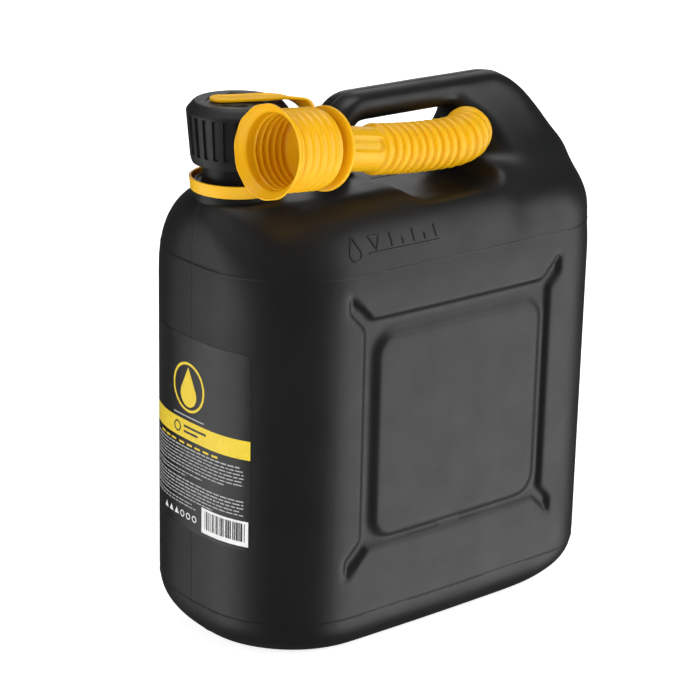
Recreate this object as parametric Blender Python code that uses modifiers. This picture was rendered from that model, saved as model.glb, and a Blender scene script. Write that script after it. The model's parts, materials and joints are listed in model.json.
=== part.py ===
"""Ten litre plastic jerry can with a screw cap and a flexible pouring spout stored in its handle.

Metres, +Z up, standing on z = 0.  X runs along the can: the neck end is at -X and the handle's
rear leg at +X.  The long sides face -Y and +Y.  The origin is under the middle of the can's length.
"""

import math

import bmesh
import bpy
from mathutils import Matrix, Vector

# ---- driving dimensions -------------------------------------------------------------------
GAP = 0.0003                # smallest clearance between two pieces

BODY_LENGTH = 0.2768
BODY_WIDTH = 0.1552
WALL = 0.0022
FRONT_BULGE = 0.0025
SIDE_BULGE = 0.0012
FRONT_CORNER = 0.0585       # plan radius of the two corners under the neck
REAR_CORNER = 0.0485
FOOT_INSET = 0.026          # width of the rounding around the flat underside
FOOT_HEIGHT = 0.028
FOOT_REAR = 1.6             # the rounding under the rear end reaches this much further in
SHOULDER_START = 0.230      # height where the walls start to lean in
SHOULDER_HEIGHT = 0.054
SHOULDER_SIDE = 0.038       # how far the long sides lean in
SHOULDER_FRONT = 0.0134
CROWN_LENGTH = 0.80         # the flat top, as a share of the ring that the shoulder ends in
CROWN_WIDTH = 0.45
CROWN_SHIFT = 0.008         # towards the neck
SHOULDER_NOSE = 0.034       # extra length of the front corners at the top

BAR_HALF_WIDTH = 0.0140
BAR_TOP = 0.3331
BAR_BOTTOM = 0.3155
FRONT_LEG_FRONT = -0.0460
FRONT_LEG_BACK = -0.0265
LEG_INNER = 0.0640          # front face of the rear leg, behind the finger opening
SCOOP_FLOOR = 0.2755        # lowest point of the hollow under the handle
SCOOP_RISE = 0.0135         # how much its ends curl up to the legs
SCOOP_X = (-0.0240, 0.0620)

PANEL_X = (-0.0658, 0.0743)  # centre lines of the side panel's groove
PANEL_Z = (0.0688, 0.2108)
PANEL_CORNER = 0.010
GROOVE_RADIUS = 0.0075
GROOVE_DEPTH = 0.0026

NECK_X = -0.1075
NECK_BORE = 0.0185
NECK_CORE = 0.0207
NECK_CREST = 0.0220         # outside of the neck's screw thread
NECK_TOP = 0.3270
FLANGE_RADIUS = 0.0262
FLANGE_TOP = 0.2925
FLANGE_FOOT = 0.2760
THREAD_PITCH = 0.0040
THREAD_TURNS = 2.0
THREAD_START = 0.3100
THREAD_STEPS = 24           # segments in one turn
THREAD_EMBED = 0.0006       # how far the ridge reaches into the wall it stands on
THREAD_HALF_WIDTH = 0.0009

RING_OUTER = (0.0277, 0.0288)  # at the bottom and at the top
RING_INNER = 0.0266
RING_Z = (0.2862, 0.2939)

SEAL_THICKNESS = 0.0020
SEAL_RADII = (0.0175, 0.0218)
CAP_BORE = 0.0226           # root of the inner cap's thread
CAP_CREST = 0.0214
INNER_CAP_OUTER = 0.0242
INNER_CAP_FOOT = 0.3065
INNER_CAP_ROOF = 0.0022

SHELL_FOOT = 0.3025
SHELL_TOP = 0.3390
SHELL_ROOF = 0.0022
SHELL_BORE = 0.0246
SHELL_BEAD = 0.0238         # snaps under the inner cap so the two stay together
SHELL_FLUTES = 27
FLUTE_RADIUS = 0.0016
FLUTE_LINE = ((0.3080, 0.0281), (0.3325, 0.0305))  # height and radius at both ends of a flute
STUD_HOLE = 0.0042

# Centre line of the spout: level cup and tube beside the cap, a bend in front of the handle's
# rear leg, then down through the handle.
SPOUT_LINE = ((-0.1300, -0.0570, 0.3228), (-0.0870, -0.0535, 0.3180), (-0.0470, -0.0490, 0.3109),
              (-0.0150, -0.0452, 0.3064), (0.0080, -0.0432, 0.3045), (0.0240, -0.0422, 0.3041),
              (0.0355, -0.0392, 0.3046), (0.0440, -0.0334, 0.3051), (0.0488, -0.0258, 0.3040),
              (0.0496, -0.0155, 0.2988), (0.0480, -0.0042, 0.2938), (0.0460, 0.0054, 0.2898))
SPOUT_WALL = 0.0018
RIM_RADIUS = 0.0275
CUP_RADIUS = 0.0240
TUBE_RADIUS = 0.0133
BELLOWS_RADIUS = 0.0154
BELLOWS_DEPTH = 0.0012
BELLOWS_PITCH = 0.0112
RIDGE_START = 0.0080        # grip ridges round the outside of the cup
RIDGE_PITCH = 0.0058
RIDGES = 5
RIDGE_HEIGHT = 0.0008
CUP_FLOOR = 0.0380
CUP_LEAD_PITCH = 0.0062     # rings that stand in for the thread in the cup
CUP_LEAD_DEPTH = 0.0009
BELLOWS_START = 0.0845      # distances along the spout from its rim
BELLOWS_END = 0.1838
NOZZLE_START = 0.1902
NOZZLE_RADIUS = 0.0098
WASHER_STATION = 0.0447     # distance of the strap's collar from the rim, along the spout
WASHER_RADIUS = 0.0248
WASHER_THICKNESS = 0.0022

STRAP_WIDTH = 0.0140
STRAP_SLIT = 0.0030
STRAP_THICKNESS = 0.0022
STUD_RADIUS = 0.0036
STUD_HEAD = 0.0052          # the snap-in head under the shell's roof
STUD_HEAD_Z = (0.3335, 0.3350)

LABEL_WIDTH = 0.0930
LABEL_Z = (0.0750, 0.1990)
LABEL_THICKNESS = 0.0003


# ---- general helpers ----------------------------------------------------------------------
def material(name, colour, roughness):
    mat = bpy.data.materials.new(name)
    mat.use_nodes = True
    shader = mat.node_tree.nodes["Principled BSDF"]
    shader.inputs["Base Color"].default_value = (*colour, 1.0)
    shader.inputs["Roughness"].default_value = roughness
    shader.inputs["Metallic"].default_value = 0.0
    return mat


def collection(name):
    group = bpy.data.collections.new(name)
    bpy.context.scene.collection.children.link(group)
    return group


def mesh_object(name, mesh, group, mat=None):
    obj = bpy.data.objects.new(name, mesh)
    group.objects.link(obj)
    if mat:
        obj.data.materials.append(mat)
    return obj


def smooth(obj, angle=35):
    obj.data.shade_smooth()
    obj.data.set_sharp_from_angle(angle=math.radians(angle))


def loft(name, rings, group, closed=False):
    """Skin through rings with equal numbers of points; closed joins the last ring to the first."""
    bm = bmesh.new()
    rows = [[bm.verts.new(point) for point in ring] for ring in rings]
    count = len(rows[0])
    pairs = list(zip(rows, rows[1:]))
    if closed:
        pairs.append((rows[-1], rows[0]))
    for low, high in pairs:
        for i in range(count):
            j = (i + 1) % count
            bm.faces.new((low[i], low[j], high[j], high[i]))
    if not closed:
        bm.faces.new(rows[0])
        bm.faces.new(rows[-1])
    bmesh.ops.recalc_face_normals(bm, faces=bm.faces)
    mesh = bpy.data.meshes.new(name)
    bm.to_mesh(mesh)
    bm.free()
    return mesh_object(name, mesh, group)


def applied(obj):
    """Replace an object's mesh by its evaluated one, and drop its modifiers."""
    depsgraph = bpy.context.evaluated_depsgraph_get()
    result = bpy.data.meshes.new_from_object(obj.evaluated_get(depsgraph))
    obj.modifiers.clear()
    obj.data = result
    return obj


def turned(name, profile, group, steps):
    """Solid turned about the neck's axis from a loop of (r, z) that runs down its outer side."""
    points = [(r, 0.0, z) for r, z in profile]
    edges = [(i, (i + 1) % len(points)) for i in range(len(points))]
    mesh = bpy.data.meshes.new(name)
    mesh.from_pydata(points, edges, [])
    obj = mesh_object(name, mesh, group)
    obj.location = (NECK_X, 0.0, 0.0)
    screw = obj.modifiers.new("turn", "SCREW")
    screw.steps = steps
    screw.render_steps = steps
    screw.use_merge_vertices = True
    screw.merge_threshold = 0.00001
    return applied(obj)


def cylinder(name, radius, low, high, group, steps=24, centre=(NECK_X, 0.0)):
    bm = bmesh.new()
    place = Matrix.Translation((centre[0], centre[1], (low + high) / 2))
    bmesh.ops.create_cone(bm, cap_ends=True, segments=steps, radius1=radius, radius2=radius,
                          depth=high - low, matrix=place)
    mesh = bpy.data.meshes.new(name)
    bm.to_mesh(mesh)
    bm.free()
    return mesh_object(name, mesh, group)


def boolean(target, other, operation):
    """Apply one Boolean straight away and drop the tool object."""
    mod = target.modifiers.new(operation.lower(), "BOOLEAN")
    mod.object = other
    mod.operation = operation
    mod.solver = "EXACT"
    applied(target)
    bpy.data.objects.remove(other)
    return target


def curve_solid(name, points, radius, group, cyclic=False, resolution=1):
    """A round bar along a polyline, turned into a welded mesh."""
    curve = bpy.data.curves.new(name, "CURVE")
    curve.dimensions = "3D"
    curve.bevel_depth = radius
    curve.bevel_resolution = resolution
    curve.use_fill_caps = not cyclic
    spline = curve.splines.new("POLY")
    spline.points.add(len(points) - 1)
    for slot, point in zip(spline.points, points):
        slot.co = (*point, 1.0)
    spline.use_cyclic_u = cyclic
    holder = bpy.data.objects.new(name + "_curve", curve)
    group.objects.link(holder)
    depsgraph = bpy.context.evaluated_depsgraph_get()
    mesh = bpy.data.meshes.new_from_object(holder.evaluated_get(depsgraph))
    bm = bmesh.new()
    bm.from_mesh(mesh)
    bmesh.ops.remove_doubles(bm, verts=bm.verts, dist=0.00005)
    bmesh.ops.recalc_face_normals(bm, faces=bm.faces)
    bm.to_mesh(mesh)
    bm.free()
    bpy.data.objects.remove(holder)
    return mesh_object(name, mesh, group)


def interpolate(table, at):
    """Straight-line reading of a table of (position, value) pairs."""
    for (a, low), (b, high) in zip(table, table[1:]):
        if at <= b:
            return low + (high - low) * max(0.0, (at - a) / (b - a))
    return table[-1][1]


def spline(points, steps):
    """Catmull-Rom curve through points, with steps pieces in each span."""
    path = [Vector(p) for p in points]
    path = [path[0] * 2 - path[1], *path, path[-1] * 2 - path[-2]]
    out = []
    for i in range(1, len(path) - 2):
        a, b, c, d = path[i - 1:i + 3]
        for k in range(steps):
            t = k / steps
            out.append(0.5 * (2 * b + (c - a) * t + (2 * a - 5 * b + 4 * c - d) * t ** 2
                              + (3 * b - a - 3 * c + d) * t ** 3))
    out.append(path[-2])
    return out


# ---- the can ------------------------------------------------------------------------------
def outline(front, rear, half, front_radii, rear_radii, z, bulges, corner_steps):
    """Rounded rectangle seen from above; radii are (along X, along Y), anticlockwise."""
    corners = (
        (rear - rear_radii[0], -(half - rear_radii[1]), rear_radii, -90),
        (rear - rear_radii[0], half - rear_radii[1], rear_radii, 0),
        (front + front_radii[0], half - front_radii[1], front_radii, 90),
        (front + front_radii[0], -(half - front_radii[1]), front_radii, 180),
    )
    sides = ((4, (1, 0), 0.0), (5, (0, 1), bulges[1]), (4, (-1, 0), bulges[0]), (5, (0, -1), bulges[1]))
    points = []
    for corner, (x, y, radii, start) in enumerate(corners):
        for k in range(corner_steps + 1):
            turn = math.radians(start + 90 * k / corner_steps)
            points.append(Vector((x + radii[0] * math.cos(turn), y + radii[1] * math.sin(turn), z)))
        steps, outward, bulge = sides[corner]
        nx, ny, nradii, nstart = corners[(corner + 1) % 4]
        turn = math.radians(nstart)
        end = Vector((nx + nradii[0] * math.cos(turn), ny + nradii[1] * math.sin(turn), z))
        begin = points[-1]
        for k in range(1, steps):
            t = k / steps
            push = bulge * (1 - (2 * t - 1) ** 2)
            points.append(begin.lerp(end, t) + Vector((outward[0] * push, outward[1] * push, 0.0)))
    return points


def body_ring(z, inset_front, inset_side, inset_rear, lean, skin, corner_steps):
    front = -BODY_LENGTH / 2 + inset_front + skin
    rear = BODY_LENGTH / 2 - inset_rear - skin
    half = BODY_WIDTH / 2 - inset_side - skin
    side = min(half * 0.92, FRONT_CORNER + 0.004 * lean - skin)
    nose = FRONT_CORNER + SHOULDER_NOSE * lean - skin
    back = min(REAR_CORNER - skin, half * 0.92)
    return outline(front, rear, half, (nose, side), (back, back), z,
                   (FRONT_BULGE, SIDE_BULGE), corner_steps)


def body_block(name, skin, group, corner_steps, foot_steps, shoulder_steps):
    """The can's main block, inset by skin on every face."""
    rings = []
    for k in range(foot_steps + 1):
        turn = math.radians(90 * k / foot_steps)
        inset = FOOT_INSET * (1 - math.sin(turn))
        height = FOOT_HEIGHT * (1 - math.cos(turn))
        z = max(height, 0.0) if skin == 0 else skin + height * (FOOT_HEIGHT - skin) / FOOT_HEIGHT
        rings.append(body_ring(z, inset, inset, inset * FOOT_REAR, 0.0, skin, corner_steps))
    rings.append(body_ring(0.120, 0.0, 0.0, 0.0, 0.0, skin, corner_steps))
    for k in range(shoulder_steps + 1):
        turn = math.radians(84 * k / shoulder_steps)
        lean = 1 - math.cos(turn)
        z = SHOULDER_START + (SHOULDER_HEIGHT - skin) * math.sin(turn)
        inset = SHOULDER_SIDE * lean
        rings.append(body_ring(z, SHOULDER_FRONT * lean ** 2.5, inset, inset, lean, skin, corner_steps))
    crown = [Vector((p.x * CROWN_LENGTH - CROWN_SHIFT, p.y * CROWN_WIDTH,
                     SHOULDER_START + SHOULDER_HEIGHT - skin)) for p in rings[-1]]
    rings.append(crown)
    return loft(name, rings, group)


# Half width and rear edge of the rear leg against height: it narrows from the can's full
# width to the width of the handle bar, and its back slopes forward.
LEG_WIDTH = ((0.230, 0.0745), (0.2440, 0.0768), (0.2578, 0.0765), (0.2643, 0.0735), (0.2700, 0.0686),
             (0.2766, 0.0611), (0.2827, 0.0526), (0.2891, 0.0432), (0.2957, 0.0357), (0.3035, 0.0291),
             (0.3106, 0.0235), (0.3170, 0.0190), (0.3226, 0.0160), (0.3273, 0.0143), (0.3310, 0.0120),
             (0.3331, 0.0085))
LEG_REAR = ((0.230, 0.1345), (0.2440, 0.1376), (0.2891, 0.1375), (0.2957, 0.1324), (0.3035, 0.1277),
            (0.3106, 0.1225), (0.3170, 0.1170), (0.3226, 0.1115), (0.3273, 0.1040), (0.3310, 0.0974),
            (0.3331, 0.0900))
LEG_FRONT = ((0.230, 0.010), (0.2766, 0.030), (0.2840, LEG_INNER - 0.004), (0.2891, LEG_INNER),
             (0.3060, LEG_INNER), (0.3130, LEG_INNER - 0.006), (0.3170, LEG_INNER - 0.016),
             (0.3331, LEG_INNER - 0.020))


# How far the front corners of the leg run back, as a share of their width, against height.
LEG_ROUNDING = ((0.2800, 1.5), (0.2957, 0.4), (0.3331, 0.4))


def rear_leg(name, skin, group, corner_steps):
    rings = []
    levels = [z for z, _ in LEG_WIDTH]
    for z in levels:
        half = interpolate(LEG_WIDTH, z) - skin
        rear = interpolate(LEG_REAR, z) - skin
        front = interpolate(LEG_FRONT, z) + skin
        back = min(REAR_CORNER, half * 0.9, (rear - front) * 0.5)
        inner = min(half * 0.9, 0.030)
        reach = min((rear - front) * 0.4, inner * interpolate(LEG_ROUNDING, z))
        top = z if z < 0.32 else z - skin
        rings.append(outline(front, rear, half, (reach, inner), (back, back), top, (0.0, 0.0),
                             corner_steps))
    return loft(name, rings, group)


def handle_bar(name, skin, group, steps):
    """Front leg and grip: a rounded bar that rises behind the neck and runs back."""
    middle = (BAR_TOP + BAR_BOTTOM) / 2
    front = (FRONT_LEG_FRONT + FRONT_LEG_BACK) / 2
    bend = 0.016
    path = [Vector((front - 0.003, 0, 0.262)), Vector((front, 0, 0.285)), Vector((front, 0, 0.300))]
    for k in range(5):
        turn = math.radians(90 * k / 4)
        path.append(Vector((front + bend * (1 - math.cos(turn)), 0, middle + bend * (math.sin(turn) - 1))))
    path += [Vector((0.03, 0, middle)), Vector((0.085, 0, middle))]
    rings = []
    for i, point in enumerate(path):
        ahead = path[min(i + 1, len(path) - 1)] - path[max(i - 1, 0)]
        ahead.normalize()
        up = Vector((-ahead.z, 0, ahead.x))
        flare = 1.25 if i == 0 else 1.0
        half_width = (BAR_HALF_WIDTH - skin) * flare
        half_height = ((BAR_TOP - BAR_BOTTOM) / 2 + 0.0008 * (i < 3) - skin) * flare
        ring = []
        for k in range(steps):
            turn = 2 * math.pi * k / steps
            c, s = math.cos(turn), math.sin(turn)
            wide = half_width * math.copysign(abs(c) ** 0.7, c)
            tall = half_height * math.copysign(abs(s) ** 0.7, s)
            ring.append(point + Vector((0, wide, 0)) + up * tall)
        rings.append(ring)
    return loft(name, rings, group)


def scoop(name, skin, group):
    """Hollow across the can's top that makes room for fingers under the grip."""
    rings = []
    low, high = SCOOP_X[0] - skin, SCOOP_X[1] + skin
    for y in (-0.090, 0.090):
        ring = []
        for k in range(13):
            t = k / 12
            x = low + (high - low) * t
            dip = (SCOOP_FLOOR - skin) + SCOOP_RISE * abs(2 * t - 1) ** 8
            ring.append(Vector((x, y, dip)))
        ring += [Vector((high, y, BAR_BOTTOM - 0.012)), Vector((low, y, BAR_BOTTOM - 0.012))]
        rings.append(ring)
    return loft(name, rings, group)


def panel_groove(name, side, skin, group):
    """Round channel that frames the flat panel on one long side."""
    y = side * (BODY_WIDTH / 2 + SIDE_BULGE * 0.8 + GROOVE_RADIUS - GROOVE_DEPTH)
    points = []
    corners = ((PANEL_X[1], PANEL_Z[0], -90), (PANEL_X[1], PANEL_Z[1], 0),
               (PANEL_X[0], PANEL_Z[1], 90), (PANEL_X[0], PANEL_Z[0], 180))
    for x, z, start in corners:
        cx = x - math.copysign(PANEL_CORNER, x)
        cz = z - math.copysign(PANEL_CORNER, z - 0.14)
        for k in range(4):
            turn = math.radians(start + 30 * k)
            points.append((cx + PANEL_CORNER * math.cos(turn), y, cz + PANEL_CORNER * math.sin(turn)))
    return curve_solid(name, points, GROOVE_RADIUS + skin, group, cyclic=True, resolution=2)


def thread(name, radius, depth, outward, z_start, group):
    """Helical ridge: a triangular tooth swept up a right-hand screw line."""
    root = radius - THREAD_EMBED * outward
    crest = radius + depth * outward
    half = THREAD_HALF_WIDTH
    rings = []
    count = int(THREAD_STEPS * THREAD_TURNS)
    for k in range(count + 1):
        turn = 2 * math.pi * k / THREAD_STEPS
        fade = min(1.0, 0.15 + k / 4, 0.15 + (count - k) / 4)
        z = z_start + THREAD_PITCH * k / THREAD_STEPS
        top = root + (crest - root) * fade
        rings.append([(NECK_X + r * math.cos(turn), r * math.sin(turn), z + h)
                      for r, h in ((root, -half * 1.4), (top, -half * 0.4), (top, half * 0.4),
                                   (root, half * 1.4))])
    return loft(name, rings, group)


def build_can(parts, tools, mat):
    can = body_block("can_body", 0.0, parts, 7, 4, 7)
    boolean(can, rear_leg("leg_skin", 0.0, tools, 5), "UNION")
    boolean(can, handle_bar("bar_skin", 0.0, tools, 14), "UNION")
    boolean(can, scoop("scoop_cut", 0.0, tools), "DIFFERENCE")
    for side in (-1, 1):
        boolean(can, panel_groove("groove_cut", side, 0.0, tools), "DIFFERENCE")
    boolean(can, cylinder("neck_flange", FLANGE_RADIUS, FLANGE_FOOT, FLANGE_TOP, tools), "UNION")
    boolean(can, cylinder("neck_core", NECK_CORE, FLANGE_TOP - 0.006, NECK_TOP, tools, steps=30), "UNION")
    boolean(can, thread("neck_thread", NECK_CORE, NECK_CREST - NECK_CORE, 1, THREAD_START, tools), "UNION")
    hollow = body_block("hollow", WALL, tools, 4, 3, 5)
    boolean(hollow, rear_leg("leg_hollow", WALL, tools, 3), "UNION")
    boolean(hollow, handle_bar("bar_hollow", WALL, tools, 8), "UNION")
    boolean(hollow, scoop("scoop_keep", WALL, tools), "DIFFERENCE")
    for side in (-1, 1):
        boolean(hollow, panel_groove("groove_keep", side, WALL, tools), "DIFFERENCE")
    boolean(hollow, cylinder("bore", NECK_BORE, 0.262, NECK_TOP + 0.010, tools), "UNION")
    boolean(can, hollow, "DIFFERENCE")
    can.data.materials.clear()
    can.data.materials.append(mat)
    smooth(can)
    return can


def build_neck_ring(parts, mat):
    """Loose coloured collar that sits round the foot of the neck."""
    low, high = RING_Z
    ring = turned("neck_ring", [(RING_INNER + 0.0004, high), (RING_OUTER[1], high), (RING_OUTER[0], low),
                                (RING_INNER, low)], parts, 40)
    ring.data.materials.append(mat)
    smooth(ring)
    return ring


# ---- the screw cap ------------------------------------------------------------------------
def build_seal(parts, mat):
    """Flat gasket between the neck's rim and the roof of the inner cap."""
    low = NECK_TOP + GAP
    high = low + SEAL_THICKNESS
    inner, outer = SEAL_RADII
    seal = turned("cap_seal", [(inner, high), (outer, high), (outer, low), (inner, low)], parts, 32)
    seal.data.materials.append(mat)
    smooth(seal)
    return seal


def build_inner_cap(parts, tools, mat):
    """Threaded cap that closes the neck, turned by the shell over it."""
    ceiling = NECK_TOP + GAP + SEAL_THICKNESS + GAP
    inner = cylinder("inner_cap", INNER_CAP_OUTER, INNER_CAP_FOOT, ceiling + INNER_CAP_ROOF, parts, steps=32)
    boolean(inner, cylinder("inner_bore", CAP_BORE, INNER_CAP_FOOT - 0.01, ceiling, tools, steps=32),
            "DIFFERENCE")
    lead = thread("cap_thread", CAP_BORE, CAP_BORE - CAP_CREST, -1,
                  THREAD_START + THREAD_PITCH / 2, tools)
    boolean(inner, lead, "UNION")
    inner.data.materials.clear()
    inner.data.materials.append(mat)
    smooth(inner)
    return inner


# Outside radius of the fluted shell against height.
SHELL_PROFILE = ((SHELL_FOOT, 0.0262), (0.3062, 0.0276), (0.3345, 0.0303), (0.3368, 0.0290),
                 (0.3384, 0.0268), (SHELL_TOP, 0.0245))


def build_shell(parts, tools, mat):
    """Fluted outer shell of the push-and-turn cap, with the hole for the strap's stud."""
    profile = [(r, z) for z, r in reversed(SHELL_PROFILE)]
    roof = SHELL_TOP - SHELL_ROOF
    lining = [(SHELL_BORE, SHELL_FOOT), (SHELL_BORE, 0.3028), (SHELL_BEAD, 0.3036), (SHELL_BEAD, 0.3048),
              (SHELL_BORE, 0.3056), (SHELL_BORE, roof), (STUD_HOLE, roof), (STUD_HOLE, SHELL_TOP)]
    shell = turned("cap_shell", profile + lining, parts, SHELL_FLUTES)
    shell.data.materials.append(mat)
    flat = math.cos(math.pi / SHELL_FLUTES)
    for k in range(SHELL_FLUTES):
        turn = 2 * math.pi * (k + 0.5) / SHELL_FLUTES
        path = [(NECK_X + r * flat * math.cos(turn), r * flat * math.sin(turn), z)
                for z, r in FLUTE_LINE]
        flute = curve_solid("flute", path, FLUTE_RADIUS, tools, resolution=0)
        boolean(shell, flute, "DIFFERENCE")
    smooth(shell)
    return shell


# ---- the pouring spout --------------------------------------------------------------------
def frames(path):
    """Position, direction and two side vectors at each point, turned as little as possible."""
    out = []
    side = Vector((0, 0, 1))
    for i, point in enumerate(path):
        ahead = (path[min(i + 1, len(path) - 1)] - path[max(i - 1, 0)]).normalized()
        side = (side - ahead * side.dot(ahead)).normalized()
        out.append((point, ahead, side, ahead.cross(side)))
    return out


def at_station(path_frames, lengths, station):
    for i in range(len(lengths) - 1):
        if station <= lengths[i + 1] or i == len(lengths) - 2:
            t = (station - lengths[i]) / (lengths[i + 1] - lengths[i])
            a, b = path_frames[i], path_frames[i + 1]
            return tuple(a[k].lerp(b[k], t) for k in range(4))
    return path_frames[-1]


def measured_path():
    path = spline(SPOUT_LINE, 10)
    lengths = [0.0]
    for a, b in zip(path, path[1:]):
        lengths.append(lengths[-1] + (b - a).length)
    return frames(path), lengths


def spout_profile(total):
    """Outer and inner radius along the spout: threaded cup, tube, bellows and nozzle."""
    outer = [(0.0, RIM_RADIUS), (0.0016, RIM_RADIUS), (0.0050, CUP_RADIUS)]
    valley = CUP_RADIUS - RIDGE_HEIGHT
    for k in range(RIDGES):
        start = RIDGE_START + RIDGE_PITCH * k
        outer += [(start, valley), (start + RIDGE_PITCH * 0.24, CUP_RADIUS)]
        outer += [(start + RIDGE_PITCH * 0.55, CUP_RADIUS), (start + RIDGE_PITCH * 0.79, valley)]
    outer += [(CUP_FLOOR + 0.0012, valley), (CUP_FLOOR + 0.0044, 0.0190), (CUP_FLOOR + 0.0054, TUBE_RADIUS)]
    outer.append((BELLOWS_START - 0.0010, TUBE_RADIUS))
    count = int((BELLOWS_END - BELLOWS_START) / BELLOWS_PITCH)
    for k in range(count):
        start = BELLOWS_START + BELLOWS_PITCH * k
        outer += [(start, BELLOWS_RADIUS - BELLOWS_DEPTH), (start + BELLOWS_PITCH * 0.35, BELLOWS_RADIUS)]
    outer += [(BELLOWS_END, BELLOWS_RADIUS - BELLOWS_DEPTH), (NOZZLE_START, NOZZLE_RADIUS),
              (total, NOZZLE_RADIUS)]
    tube, bellows = TUBE_RADIUS - SPOUT_WALL, BELLOWS_RADIUS - BELLOWS_DEPTH - SPOUT_WALL
    inner = [(total, NOZZLE_RADIUS - SPOUT_WALL), (NOZZLE_START - 0.0010, NOZZLE_RADIUS - SPOUT_WALL),
             (BELLOWS_END - 0.0020, bellows)]
    length = BELLOWS_END - 0.0020 - BELLOWS_START
    steps = 10
    inner += [(BELLOWS_END - 0.0020 - length * k / steps, bellows) for k in range(1, steps + 1)]
    bore = CUP_RADIUS - SPOUT_WALL + 0.0002
    inner += [(BELLOWS_START - 0.0040, tube), (CUP_FLOOR + 0.0070, tube), (CUP_FLOOR + 0.0020, tube),
              (CUP_FLOOR, 0.0200), (CUP_FLOOR - 0.0040, bore)]
    for k in range(4):
        start = CUP_FLOOR - 0.0070 - CUP_LEAD_PITCH * k
        inner += [(start, bore), (start - 0.0016, bore - CUP_LEAD_DEPTH), (start - 0.0032, bore)]
    inner += [(0.0050, bore), (0.0, RIM_RADIUS - 0.0020)]
    return outer, inner


def build_spout(parts, mat):
    path_frames, lengths = measured_path()
    outer, inner = spout_profile(lengths[-1])
    rings = []
    sides = 18
    for station, radius in outer + inner:
        point, _, side, across = at_station(path_frames, lengths, station)
        rings.append([point + (side * math.cos(2 * math.pi * k / sides)
                               + across * math.sin(2 * math.pi * k / sides)) * radius
                      for k in range(sides)])
    spout = loft("spout", rings, parts, closed=True)
    spout.data.materials.append(mat)
    smooth(spout, 50)
    return spout


# ---- the strap ----------------------------------------------------------------------------
def strap_path():
    """Points of the strap's centre line with the direction of its width."""
    level = SHELL_TOP + GAP + STRAP_THICKNESS / 2
    line = spline([(-0.1235, 0.0060, level), (NECK_X, -0.0020, level), (-0.0960, -0.0105, level + 0.0008),
                   (-0.0865, -0.0200, level + 0.0008), (-0.0805, -0.0290, level - 0.0030),
                   (-0.0835, -0.0365, level - 0.0085)], 4)
    widths = spline([(0.43, 0.90, 0.0), (0.45, 0.89, 0.0), (0.60, 0.80, 0.0), (0.55, 0.80, -0.2),
                     (0.25, 0.80, -0.5), (0.0, 0.72, -0.69)], 4)
    return line, widths


def build_strap(parts, tools, mat):
    """Leash in one piece: a stud in the cap, a slit band and a collar round the spout."""
    line, widths = strap_path()
    bm = bmesh.new()
    rows = []
    last = len(line) - 1
    for i, (point, width) in enumerate(zip(line, widths)):
        width = width.normalized()
        taper = 0.72 if i == 0 else 1.0
        half, slit = STRAP_WIDTH / 2 * taper, STRAP_SLIT / 2
        rows.append([bm.verts.new(point + width * offset) for offset in (-half, -slit, slit, half)])
    for i in range(last):
        for j in range(3):
            if j == 1 and 7 < i < last - 3:
                continue
            bm.faces.new((rows[i][j], rows[i + 1][j], rows[i + 1][j + 1], rows[i][j + 1]))
    mesh = bpy.data.meshes.new("spout_strap")
    bmesh.ops.recalc_face_normals(bm, faces=bm.faces)
    bm.to_mesh(mesh)
    bm.free()
    strap = mesh_object("spout_strap", mesh, parts, mat)
    thicken = strap.modifiers.new("thickness", "SOLIDIFY")
    thicken.thickness = STRAP_THICKNESS
    thicken.offset = 0.0
    applied(strap)

    path_frames, lengths = measured_path()
    point, ahead, side, across = at_station(path_frames, lengths, WASHER_STATION)
    rings = []
    for k in range(28):
        turn = 2 * math.pi * k / 28
        out = side * math.cos(turn) + across * math.sin(turn)
        hole = TUBE_RADIUS + 0.0006
        half = ahead * (WASHER_THICKNESS / 2)
        rings.append([point + out * hole - half, point + out * WASHER_RADIUS - half,
                      point + out * WASHER_RADIUS + half, point + out * hole + half])
    boolean(strap, loft("collar", rings, tools, closed=True), "UNION")

    level = SHELL_TOP + GAP
    stud = cylinder("stud", STUD_RADIUS, STUD_HEAD_Z[0] + 0.0005, level + 0.0010, tools, steps=16)
    boolean(stud, cylinder("stud_head", STUD_HEAD, *STUD_HEAD_Z, tools, steps=16), "UNION")
    boolean(strap, stud, "UNION")
    strap.data.materials.clear()
    strap.data.materials.append(mat)
    smooth(strap)
    return strap


# ---- the label ----------------------------------------------------------------------------
def build_label(parts, mat):
    """Self-adhesive film on the neck end, wrapped a little way round both corners."""
    offset = 0.0003 + LABEL_THICKNESS
    outer = body_ring(0.0, 0.0, 0.0, 0.0, 0.0, -offset, 24)
    inner = body_ring(0.0, 0.0, 0.0, 0.0, 0.0, -GAP, 24)
    keep = [i for i, p in enumerate(outer) if p.x < 0 and abs(p.y) < LABEL_WIDTH / 2]
    keep.sort(key=lambda i: outer[i].y)
    rows = [[Vector((outer[i].x, outer[i].y, z)) for i in keep] +
            [Vector((inner[i].x, inner[i].y, z)) for i in reversed(keep)] for z in LABEL_Z]
    label = loft("front_label", rows, parts)
    label.data.materials.append(mat)
    return label


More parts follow.
